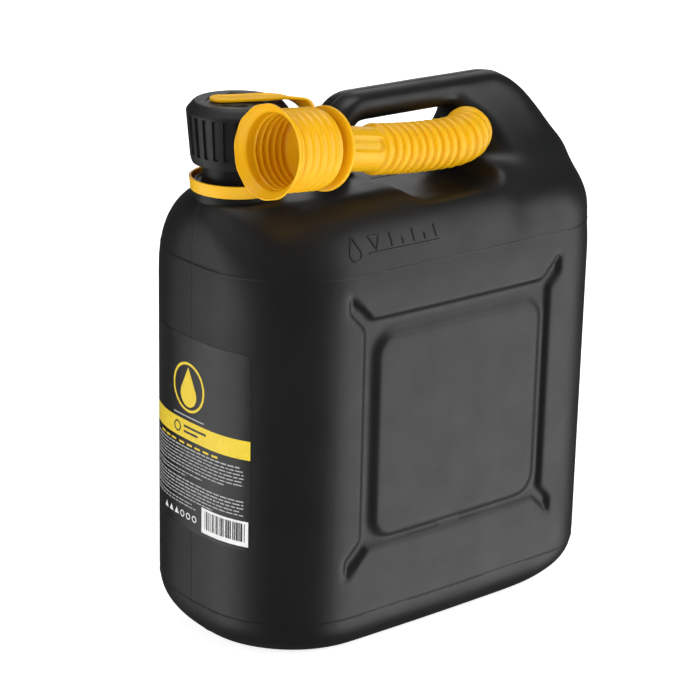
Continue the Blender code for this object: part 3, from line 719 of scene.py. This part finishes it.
def flute_wave(turn, r, z):
    """Groove between two ribs of the shell, with a short slope at its ends and sides."""
    share = (turn * FLUTES / (2 * math.pi)) % 1.0
    across = float(ramp((0.235 - abs(share - 0.5)) / 0.03 + 0.5))
    along = float(ramp((z - FLUTE_Z[0]) / 0.0005) * ramp((FLUTE_Z[1] - z) / 0.0012))
    return -FLUTE_DEPTH * across * along if r > 0.0255 else 0.0


def build_shell(mat):
    """Fluted outer shell of the push-and-turn cap, with arrow tracks sunk in its top."""
    radius = smooth_table(SHELL_SIDE, 0.00035, 0.0001)
    heights = sorted({*np.round(np.linspace(SHELL_FOOT, SHELL_TOP - 0.0004, 46), 6),
                      *np.round(np.linspace(FLUTE_Z[0] - 0.0001, FLUTE_Z[0] + 0.0006, 5), 6),
                      *np.round(np.linspace(FLUTE_Z[1] - 0.0014, FLUTE_Z[1] + 0.0001, 6), 6)})
    side = [(float(radius(z)), float(z)) for z in reversed(heights)]
    edge = filleted([(0.0225, SHELL_TOP), (0.0252, SHELL_TOP), side[0]], [0.0, 0.0012, 0.0])[:-1]
    bore, bead, roof = 0.0246, 0.0238, SHELL_TOP - 0.0022
    lining = [(bore, SHELL_FOOT), (bore, 0.3028), (bead, 0.3036), (bead, 0.3048), (bore, 0.3056),
              (bore, roof), (STUD_HOLE, roof), (STUD_HOLE, SHELL_TOP - 0.0004),
              (STUD_HOLE + 0.0004, SHELL_TOP)]
    profile = [tuple(p) for p in edge] + side + lining
    places = (0.0, 0.10, 0.20, 0.25, 0.265, 0.28, 0.35, 0.5, 0.65, 0.72, 0.735, 0.75, 0.80, 0.90)
    angles = [2 * math.pi * (k + place) / FLUTES for k in range(FLUTES) for place in places]
    shell = turned("cap_shell_fluted", profile, 0, mat, angles, flute_wave)
    for number, start in enumerate((20, 110, 200, 290)):
        boolean(shell, arrow_track(f"track_{number}", math.radians(start)), "DIFFERENCE")
    smooth(shell, 32)
    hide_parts("cap_shell")
    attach(shell, "shell")


def arrow_track(name, start):
    """Curved arrow, as a flat cutter across the top of the cap."""
    middle, half, head_half, depth = 0.0168, 0.0013, 0.0034, 0.0007
    sweep_angle, head_angle = math.radians(42), math.radians(16)
    steps = 8
    outer = [(middle + half, start + sweep_angle * k / steps) for k in range(steps + 1)]
    inner = [(middle - half, start + sweep_angle * k / steps) for k in range(steps, -1, -1)]
    neck_angle = start + sweep_angle
    outline = [*outer, (middle + head_half, neck_angle), (middle, neck_angle + head_angle),
               (middle - head_half, neck_angle), *inner]
    points = []
    for z in (SHELL_TOP - depth, SHELL_TOP + 0.0010):
        points += [(NECK_X + r * math.cos(a), r * math.sin(a), z) for r, a in outline]
    count = len(outline)
    faces = grid_faces(2, count)
    faces.append(tuple(range(count)))
    faces.append(tuple(range(count, 2 * count)))
    tool = new_object(name, mesh_from(name, points, faces))
    outward(tool.data)
    return tool


# ---- spout ------------------------------------------------------------------------------------
class Track:
    """A centre line with its lengths and side vectors, read by distance from its start."""

    def __init__(self, line, steps=24):
        self.path = spline(line, steps)
        gaps = [(b - a).length for a, b in zip(self.path, self.path[1:])]
        self.lengths = np.concatenate([[0.0], np.cumsum(gaps)])
        self.total = float(self.lengths[-1])
        ahead, sides = [], []
        side = Vector((0, 0, 1))
        for i in range(len(self.path)):
            way = self.path[min(i + 1, len(self.path) - 1)] - self.path[max(i - 1, 0)]
            way.normalize()
            side = (side - way * side.dot(way)).normalized()
            ahead.append(way)
            sides.append(side)
        self.table = np.array([[*p, *a, *s] for p, a, s in zip(self.path, ahead, sides)])

    def at(self, station):
        row = np.array([np.interp(station, self.lengths, self.table[:, k]) for k in range(9)])
        point, ahead, side = Vector(row[:3]), Vector(row[3:6]).normalized(), Vector(row[6:])
        side = (side - ahead * side.dot(ahead)).normalized()
        return point, ahead, side, ahead.cross(side)


def spout_outside(s, turn):
    """Outer radius at a distance from the rim; turn runs from the top towards -Y."""
    flare_end, ridge_start, ridge_pitch, ridges = 0.0062, 0.0080, 0.0058, 5
    base = CUP_RADIUS - 0.0009
    r = np.where(s < 0.0008, RIM_RADIUS, base + (RIM_RADIUS - base) * (1 - ramp((s - 0.0008) / 0.0062)))
    facets = 0.00022 * np.cos(12 * turn) * (1 - ramp(s / flare_end))
    share = (s - ridge_start) / ridge_pitch
    bump = np.clip((share % 1.0) / 0.62, 0, 1)
    ridge = 0.0011 * np.sin(math.pi * bump) ** 1.3 * ((share > 0) & (share < ridges))
    r = r + facets + ridge
    neck = ramp((s - 0.0372) / 0.0058)
    r = r * (1 - neck) + TUBE_RADIUS * neck
    return r


def bellows_outside(s):
    """Outer radius of the bellows: bands that rise fast on their near side and fall slowly."""
    share = (s - BELLOWS_START) / BELLOWS_PITCH
    t = np.where(share < 0, 1 + share * BELLOWS_PITCH / 0.0080, share % 1.0)
    band = np.sin(math.pi * np.clip(t, 0, 1) ** 0.65) ** 0.8
    rise = ramp((s - 0.0838) / 0.0010)
    valley = BELLOWS_RADIUS - BELLOWS_DEPTH
    r = TUBE_RADIUS + (valley + BELLOWS_DEPTH * band - TUBE_RADIUS) * rise
    taper = ramp((s - BELLOWS_END) / (NOZZLE_START - BELLOWS_END))
    return r * (1 - taper) + NOZZLE_RADIUS * taper


def pocket_depth(s, turn):
    """Slot pressed into the side of the tube that faces away from the cap, with a raised lip."""
    middle, low, high = math.radians(67), 0.0440, 0.0822
    half, wall, lip = 0.0033, 0.0016, 0.0010
    across = np.abs(turn - middle) * TUBE_RADIUS
    edge = np.maximum(across - half, s - high + half)
    edge = np.where((across > 0) & (s > high - half), np.hypot(across, s - high + half) - half, edge)
    edge = np.maximum(edge, low - s)
    hollow = 0.0019 * (1 - ramp(edge / wall))
    rim = 0.00035 * np.exp(-((edge - wall - lip * 0.5) / (lip * 0.6)) ** 2) * (s > low)
    return hollow - rim


def spout_inside(s, turn):
    """Inner radius: flared lip, one lead of thread in the cup, then the bore."""
    cup, thread_depth, thread_pitch = CUP_RADIUS - 0.0016, 0.0010, 0.0050
    r = cup + (RIM_RADIUS - 0.0008 - cup) * (1 - ramp(s / 0.0052))
    lead = s - thread_pitch * turn / (2 * math.pi)
    tooth = np.exp(-(((lead / thread_pitch) % 1.0 - 0.5) / 0.17) ** 2)
    ends = ramp((lead - 0.0065) / 0.0012) * (1 - ramp((lead - 0.0290) / 0.0012))
    r = r - thread_depth * tooth * ends
    floor = ramp((s - 0.0352) / 0.0030)
    tube = TUBE_RADIUS - SPOUT_WALL - 0.0004
    bellows = BELLOWS_RADIUS - BELLOWS_DEPTH - SPOUT_WALL * 0.7
    bore = tube + (bellows - tube) * ramp((s - BELLOWS_START + 0.006) / 0.004)
    end = ramp((s - BELLOWS_END) / (NOZZLE_START - BELLOWS_END))
    bore = bore * (1 - end) + (NOZZLE_RADIUS - SPOUT_WALL) * end
    return r * (1 - floor) + bore * floor


def build_spout(mat):
    track = Track(SPOUT_LINE)
    sides = 168
    turns = 2 * math.pi * np.arange(sides) / sides
    fine = np.concatenate([np.arange(0.0, 0.0440, 0.00042), np.arange(0.0440, 0.0836, 0.00050),
                           np.arange(0.0836, BELLOWS_END, 0.00056),
                           np.arange(BELLOWS_END, track.total - 0.0008, 0.0010),
                           [track.total - 0.0008, track.total - 0.0003, track.total]])
    inside = np.concatenate([np.arange(0.0, 0.0400, 0.00050), np.arange(0.0400, track.total, 0.0030),
                             [track.total]])[::-1]
    rows = []
    for s in fine:
        r = spout_outside(s, turns) if s < 0.0836 else bellows_outside(s) + 0 * turns
        if s < 0.0836:
            r = r - pocket_depth(s, turns)
        lip = track.total - s
        r = r - (0.0005 if lip < 0.0001 else 0.00015 if lip < 0.0005 else 0.0)
        r = r - (0.0002 if s < 0.0001 else 0.0)
        rows.append((s, r))
    for s in inside:
        rows.append((s, spout_inside(s, turns)))
    points = []
    for s, radii in rows:
        point, _, side, across = track.at(s)
        for turn, r in zip(turns, radii):
            points.append(point + (side * math.cos(turn) + across * math.sin(turn)) * float(r))
    faces = grid_faces(len(rows), sides, wrap_rows=True)
    spout = new_object("pouring_spout", mesh_from("pouring_spout", points, faces), mat)
    outward(spout.data)
    smooth(spout, 60)
    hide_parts("spout")
    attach(spout, "spout")
    return track


# ---- strap ------------------------------------------------------------------------------------
STRAP_LEVEL = SHELL_TOP + 0.0003
STRAP_THICKNESS = 0.0022
STRAP_LINE = ((-0.1235, 0.0060, 0.0), (-0.1075, -0.0020, 0.0), (-0.0960, -0.0105, 0.0008),
              (-0.0865, -0.0200, 0.0008), (-0.0805, -0.0290, -0.0030), (-0.0830, -0.0375, -0.0090))
STRAP_WIDTHS = ((0.43, 0.90, 0.0), (0.45, 0.89, 0.0), (0.60, 0.80, 0.0), (0.55, 0.80, -0.2),
                (0.25, 0.80, -0.5), (0.0, 0.72, -0.69))


def strap_section(half, recess):
    """Cross section of the band as (across, height): raised rims beside a sunken middle."""
    thick, rim = STRAP_THICKNESS / 2, 0.0024
    inner = max(half - rim, 0.0008)
    outline = [(-half, thick), (-inner, thick), (-inner + 0.0006, thick - recess),
               (-0.0006, thick - recess), (0.0, thick - recess * 0.35), (0.0006, thick - recess),
               (inner - 0.0006, thick - recess), (inner, thick), (half, thick), (half, -thick),
               (-half, -thick)]
    sizes = [0.0007, 0.0004, 0.0002, 0.0002, 0.0003, 0.0002, 0.0002, 0.0004, 0.0007, 0.0008, 0.0008]
    return filleted(outline, sizes, 3)


def build_strap(track, mat):
    """Leash: band, collar round the tube and stud in the cap, welded into one skin."""
    middle = STRAP_LEVEL + STRAP_THICKNESS / 2
    line = spline([(x, y, middle + z) for x, y, z in STRAP_LINE], 10)
    widths = spline(STRAP_WIDTHS, 10)
    width = 0.0070
    points, sections = [], 0
    travelled = 0.0
    for i, (point, across) in enumerate(zip(line, widths)):
        across = across.normalized()
        ahead = (line[min(i + 1, len(line) - 1)] - line[max(i - 1, 0)]).normalized()
        across = (across - ahead * across.dot(ahead)).normalized()
        up = ahead.cross(across)
        up = up if up.z > 0 or i > 40 else -up
        travelled += (point - line[max(i - 1, 0)]).length
        near_end = max(0.0, 1 - travelled / width)
        half = width * math.sqrt(max(1 - near_end ** 2, 0.02))
        recess = 0.0009 * float(ramp((travelled - 0.0022) / 0.0015))
        for u, h in strap_section(half, recess):
            points.append(point + across * u + up * h)
        sections = len(points) // (i + 1)
    faces = grid_faces(len(line), sections)
    faces.append(tuple(range(sections)))
    faces.append(tuple(range((len(line) - 1) * sections, len(line) * sections)))
    strap = new_object("strap", mesh_from("strap", points, faces), mat)
    outward(strap.data)

    point, ahead, side, across = track.at(COLLAR_STATION)
    hole, half = TUBE_RADIUS + 0.0006, COLLAR_THICKNESS / 2
    ring = filleted([(hole, -half), (COLLAR_RADIUS, -half), (COLLAR_RADIUS, half), (hole, half)], 0.0006)
    steps = 128
    points = []
    for r, h in ring:
        for k in range(steps):
            turn = 2 * math.pi * k / steps
            points.append(point + (side * math.cos(turn) + across * math.sin(turn)) * r + ahead * h)
    collar = new_object("collar", mesh_from("collar", points, grid_faces(len(ring), steps, True)))
    outward(collar.data)
    boolean(strap, collar, "UNION")

    stud, stud_head, low = 0.0036, 0.0052, SHELL_TOP - 0.0055
    outline = [(0.00001, middle), (stud, middle), (stud, low + 0.0015), (stud_head, low + 0.0015),
               (stud_head - 0.0008, low), (0.00001, low)]
    boolean(strap, turned("stud", filleted(outline, [0, 0, 0.0003, 0.0003, 0.0003, 0]), 48, mat), "UNION")
    remesh = strap.modifiers.new("weld", "REMESH")
    remesh.mode = "VOXEL"
    remesh.voxel_size = 0.00042
    relax = strap.modifiers.new("relax", "SMOOTH")
    relax.factor = 0.5
    relax.iterations = 3
    apply_modifiers(strap)
    strap.data.materials.clear()
    strap.data.materials.append(mat)
    smooth(strap, 180)
    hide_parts("spout_strap")
    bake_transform(strap)


# ---- label ------------------------------------------------------------------------------------
LABEL_HALF = 0.0465
LABEL_Z = (LABEL_LOW.z - 0.0004, LABEL_HIGH.z - 0.0004)


def label_film(surface, mat):
    """Self-adhesive film that follows the neck end's curve, with rounded corners."""
    lift, sink, corner, columns = 0.00022, -0.00020, 0.0040, 56
    heights = np.concatenate([LABEL_Z[0] + corner * np.array([0.0, 0.08, 0.25, 0.55]),
                              np.linspace(LABEL_Z[0] + corner, LABEL_Z[1] - corner, 60),
                              LABEL_Z[1] - corner * np.array([0.55, 0.25, 0.08, 0.0])])
    front, back = [], []
    for z in heights:
        nearest = min(z - LABEL_Z[0], LABEL_Z[1] - z)
        inset = corner - math.sqrt(max(corner ** 2 - max(corner - nearest, 0.0) ** 2, 0.0))
        half = LABEL_HALF - inset
        for k in range(columns + 1):
            y = -half + 2 * half * k / columns
            front.append(front_point(surface, y, z, lift))
            back.append(front_point(surface, y, z, sink))
    rows, width = len(heights), columns + 1
    shift = rows * width
    faces = grid_faces(rows, width, wrap_columns=False)
    faces += [tuple(i + shift for i in reversed(face)) for face in faces]
    edge = [j for j in range(width)] + [i * width + width - 1 for i in range(1, rows)]
    edge += [(rows - 1) * width + j for j in range(width - 2, -1, -1)]
    edge += [i * width for i in range(rows - 2, 0, -1)]
    for a, b in zip(edge, edge[1:] + edge[:1]):
        faces.append((a, b, b + shift, a + shift))
    film = new_object("label_film", mesh_from("label_film", front + back, faces), mat)
    outward(film.data)
    smooth(film, 50)
    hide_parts("front_label")
    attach(film, "can")


def decal(name, surface, loops, mat, lift=0.00034):
    """Ink or patch printed on the film: flat (y, z) outlines laid on the curved neck end."""
    strip, thickness = 0.0030, 0.00016
    bm = bmesh.new()
    for loop in loops:
        bm.faces.new([bm.verts.new((0.0, y, z)) for y, z in loop])
    for k in range(-16, 17):
        bmesh.ops.bisect_plane(bm, geom=[*bm.verts, *bm.edges, *bm.faces], dist=0.000001,
                               plane_co=(0.0, k * strip, 0.0), plane_no=(0.0, 1.0, 0.0))
    bmesh.ops.triangulate(bm, faces=bm.faces)
    for vert in bm.verts:
        vert.co = front_point(surface, vert.co.y, vert.co.z, lift)
    mesh = bpy.data.meshes.new(name)
    bm.to_mesh(mesh)
    bm.free()
    obj = new_object(name, mesh, mat)
    for face in obj.data.polygons:
        if face.normal.x > 0:
            face.flip()
    thicken = obj.modifiers.new("thickness", "SOLIDIFY")
    thicken.thickness = thickness
    thicken.offset = -1.0
    apply_modifiers(obj)
    smooth(obj, 50)
    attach(obj, "can")


def bar(y0, y1, z0, z1):
    return [(y0, z0), (y1, z0), (y1, z1), (y0, z1)]


def ring_sectors(y, z, outer, inner, steps=20):
    """A flat ring, as quads."""
    out = []
    for k in range(steps):
        a, b = 2 * math.pi * k / steps, 2 * math.pi * (k + 1) / steps
        out.append([(y + outer * math.cos(a), z + outer * math.sin(a)),
                    (y + outer * math.cos(b), z + outer * math.sin(b)),
                    (y + inner * math.cos(b), z + inner * math.sin(b)),
                    (y + inner * math.cos(a), z + inner * math.sin(a))])
    return out


def drop_outline(y, z, size):
    """A liquid drop: round below, pointed above."""
    round_part = [(y + size * math.sin(math.radians(a)), z - size * math.cos(math.radians(a)))
                  for a in range(-120, 121, 12)]
    return [*round_part, (y, z + 2.15 * size)]


def text_lines(rng):
    """Unreadable lines of small print, as rows of word-long dashes from left to right."""
    out = []
    left = LABEL_HALF - 0.0030
    rows = [(0.1268, -0.0400, 0.0009), (0.1246, -0.0425, 0.0007), (0.1224, -0.0425, 0.0007),
            (0.1202, -0.0425, 0.0007), (0.1180, -0.0420, 0.0007), (0.1158, -0.0425, 0.0007),
            (0.1136, -0.0300, 0.0007), (0.1106, -0.0100, 0.0007), (0.1084, 0.0060, 0.0007),
            (0.1054, -0.0425, 0.0008), (0.1032, -0.0425, 0.0008), (0.1010, -0.0425, 0.0008),
            (0.0988, -0.0400, 0.0007), (0.0966, -0.0425, 0.0007), (0.0944, -0.0200, 0.0007),
            (0.0914, 0.0000, 0.0007), (0.0892, -0.0040, 0.0007)]
    for z, right, height in rows:
        y = left
        while y > right:
            word = float(rng.uniform(0.0020, 0.0062))
            end = max(y - word, right)
            out.append(bar(end, y, z, z + height))
            y = end - 0.0009
    return out


def build_label(surface, film, yellow_ink, white_ink, grey_ink, dark_ink):
    """A made-up label: drop symbol, colour band, unreadable small print, pictograms, bar patch."""
    rng = np.random.default_rng(7)
    label_film(surface, film)
    decal("label_band", surface, [bar(-0.0463, 0.0463, 0.1330, 0.1450)], yellow_ink)
    decal("label_drop", surface, [drop_outline(0.0035, 0.1620, 0.0080)], yellow_ink)
    decal("label_circle", surface, ring_sectors(0.0035, 0.1665, 0.0158, 0.0142, 40), yellow_ink)
    decal("label_rule", surface, [bar(-0.0120, 0.0190, 0.1472, 0.1480)], grey_ink)
    decal("band_mark", surface, ring_sectors(0.0150, 0.1390, 0.0036, 0.0026), dark_ink, 0.00044)
    decal("band_bars", surface, [bar(-0.0140, 0.0080, 0.1402, 0.1416), bar(-0.0060, 0.0080, 0.1368, 0.1382)],
          dark_ink, 0.00044)
    decal("small_print", surface, text_lines(rng), grey_ink)
    decal("yellow_print", surface, [bar(y - 0.0052, y, 0.1291, 0.1303) for y in (0.036, 0.029, 0.022, 0.013,
                                                                          0.005, -0.003, -0.011, -0.019)],
          yellow_ink)
    patch = (-0.0455, -0.0100, 0.0772, 0.0935)
    decal("bar_patch", surface, [bar(*patch)], white_ink)
    bars = []
    y = patch[0] + 0.0020
    while y < patch[1] - 0.0030:
        wide = float(rng.choice([0.0004, 0.0004, 0.0008, 0.0012]))
        bars.append(bar(y, y + wide, patch[2] + 0.0030, patch[3] - 0.0015))
        y += wide + float(rng.choice([0.0004, 0.0006, 0.0010]))
    decal("bar_lines", surface, bars, dark_ink, 0.00044)
    symbols = []
    for k in range(3):
        y = 0.0285 - 0.0062 * k
        symbols.append([(y - 0.0022, 0.0812), (y + 0.0022, 0.0812), (y, 0.0852)])
    for k in range(3):
        symbols += ring_sectors(0.0099 - 0.0062 * k, 0.0830, 0.0022, 0.0015, 14)
    decal("pictograms", surface, symbols, white_ink)


# ---- stage ------------------------------------------------------------------------------------
FLOOR_SIZE = 12.0
BACKDROP_RADIUS = 5.8
ROOM_LIGHT = 0.06
KEY_POWER = 14.5
FILL_POWER = 12.0
CAMERA_PLACE = (-0.95075, -1.11627, 0.66651)
CAMERA_AHEAD = (0.60646, 0.72566, -0.32500)
CAMERA_ROLL = 1.33
CAMERA_LENS = 125.96


def build_floor():
    """White floor: softly lit from below its surface, as a lit table is, and not mirrored in the can."""
    bpy.ops.mesh.primitive_plane_add(size=FLOOR_SIZE, location=(0.0, 0.0, -0.0004))
    floor = bpy.context.object
    floor.name = "floor"
    shader = Shader("pale_floor")
    shader.set(Base_Color=(0.86, 0.86, 0.86, 1.0), Roughness=0.6, Emission_Color=(1.0, 1.0, 1.0, 1.0),
               Emission_Strength=0.80)
    floor.data.materials.append(shader.mat)
    floor.visible_glossy = False


def build_backdrop():
    """White paper all round, behind the floor; it only fills the view and lights nothing."""
    bpy.ops.mesh.primitive_uv_sphere_add(segments=48, ring_count=24, radius=BACKDROP_RADIUS)
    paper = bpy.context.object
    paper.name = "backdrop"
    shader = Shader("backdrop_paper")
    shader.set(Base_Color=(0.0, 0.0, 0.0, 1.0), Roughness=1.0, Specular_IOR_Level=0.0,
               Emission_Color=(1.0, 1.0, 1.0, 1.0), Emission_Strength=1.0)
    paper.data.materials.append(shader.mat)
    paper.visible_glossy = False
    paper.visible_diffuse = False
    paper.visible_transmission = False
    paper.visible_shadow = False


def build_camera():
    """Seen from the neck end and the -Y side, a little above the can."""
    forward = Vector(CAMERA_AHEAD).normalized()
    roll = math.radians(CAMERA_ROLL)
    right = forward.cross(Vector((0, 0, 1))).normalized()
    up = right.cross(forward)
    camera_x = right * math.cos(roll) + up * math.sin(roll)
    camera_y = up * math.cos(roll) - right * math.sin(roll)
    data = bpy.data.cameras.new("camera")
    data.sensor_width = 36.0
    data.lens = CAMERA_LENS
    data.clip_start = 0.05
    data.clip_end = 50.0
    camera = bpy.data.objects.new("camera", data)
    bpy.context.scene.collection.objects.link(camera)
    turn = Matrix((camera_x, camera_y, -forward)).transposed()
    camera.matrix_world = Matrix.Translation(Vector(CAMERA_PLACE)) @ turn.to_4x4()
    bpy.context.scene.camera = camera


class Sky:
    """The studio round the object, painted by direction only: each patch adds to the total."""

    def __init__(self, world):
        world.use_nodes = True
        self.nodes = world.node_tree.nodes
        self.links = world.node_tree.links
        place = self.nodes.new("ShaderNodeTexCoord")
        self.direction = place.outputs["Generated"]
        self.total = None

    def along(self, axis):
        """Cosine of the angle between the direction looked in and an axis."""
        node = self.nodes.new("ShaderNodeVectorMath")
        node.operation = "DOT_PRODUCT"
        node.inputs[1].default_value = Vector(axis).normalized()
        self.links.new(self.direction, node.inputs[0])
        return node.outputs["Value"]

    def add(self, value):
        if self.total is None:
            self.total = value
            return
        node = self.nodes.new("ShaderNodeMath")
        node.operation = "ADD"
        self.links.new(self.total, node.inputs[0])
        self.links.new(value, node.inputs[1])
        self.total = node.outputs["Value"]

    def patch(self, axis, start, end, power):
        """Round bright patch; start and end are cosines of the angles where it begins and is full."""
        self.add(map_range(self, self.along(axis), start, end, 0.0, power, "SMOOTHSTEP"))

    def soft_box(self, axis, inner, outer, power):
        """The same, from angles in degrees: full inside one and gone outside the other."""
        self.patch(axis, math.cos(math.radians(outer)), math.cos(math.radians(inner)), power)


def area_light(name, place, target, size, power, glossy=True):
    data = bpy.data.lights.new(name, "AREA")
    data.shape = "RECTANGLE"
    data.size, data.size_y = size
    data.energy = power
    light = bpy.data.objects.new(name, data)
    light.location = place
    light.rotation_euler = (Vector(target) - Vector(place)).to_track_quat("-Z", "Y").to_euler()
    light.visible_glossy = glossy
    bpy.context.scene.collection.objects.link(light)


def build_lights():
    """Product studio: the black plastic shows soft boxes and the table's glow, by direction."""
    world = bpy.data.worlds.new("studio")
    bpy.context.scene.world = world
    sky = Sky(world)
    sky.soft_box((0.61, -0.66, 0.40), 10, 26, 2.1)      # beside the shoulder
    sky.soft_box((0.61, 0.73, 0.33), 9, 19, 0.95)       # behind, over the cap's top
    sky.soft_box((0.52, -0.62, -0.58), 9, 26, 1.1)      # table, under the long side
    sky.soft_box((-0.80, 0.25, 0.55), 12, 26, 0.9)      # over the neck end
    sky.patch((0.72, -0.68, -0.25), 0.78, 0.98, 1.9)    # table beside the long side
    sky.patch((-0.82, 0.42, -0.42), 0.82, 0.98, 1.5)    # table beside the neck end
    sky.patch((0.0, 0.10, 1.0), 0.88, 0.99, 3.2)        # overhead
    background = sky.nodes["Background"]
    background.inputs["Strength"].default_value = 1.0
    base = sky.nodes.new("ShaderNodeMath")
    base.operation = "ADD"
    base.inputs[1].default_value = ROOM_LIGHT
    sky.links.new(sky.total, base.inputs[0])
    sky.links.new(base.outputs["Value"], background.inputs["Color"])
    area_light("key", (0.10, -1.90, 1.40), (0.0, 0.0, 0.2), (0.9, 0.9), KEY_POWER, glossy=False)
    area_light("fill", (-1.80, -0.70, 0.90), (0.0, 0.0, 0.25), (0.9, 0.9), FILL_POWER, glossy=False)
    scene = bpy.context.scene
    scene.view_settings.view_transform = "Standard"
    scene.view_settings.look = "None"


black = black_polyethylene()
cap_black = cap_polypropylene()
yellow = yellow_polyethylene()
build_camera()
skin = build_can(black)
fill_mark(skin, black)
build_neck(black)
build_ring(yellow)
build_shell(cap_black)
spout_track = build_spout(yellow)
build_strap(spout_track, yellow)
build_label(skin, label_vinyl(), ink("yellow_ink", (0.80, 0.58, 0.02)), ink("white_ink", (0.80, 0.80, 0.79)),
            ink("grey_ink", (0.40, 0.40, 0.41)), ink("dark_ink", (0.020, 0.020, 0.022)))
dress_hidden_nodes(cap_black, seal_rubber())
build_floor()
build_backdrop()
build_lights()
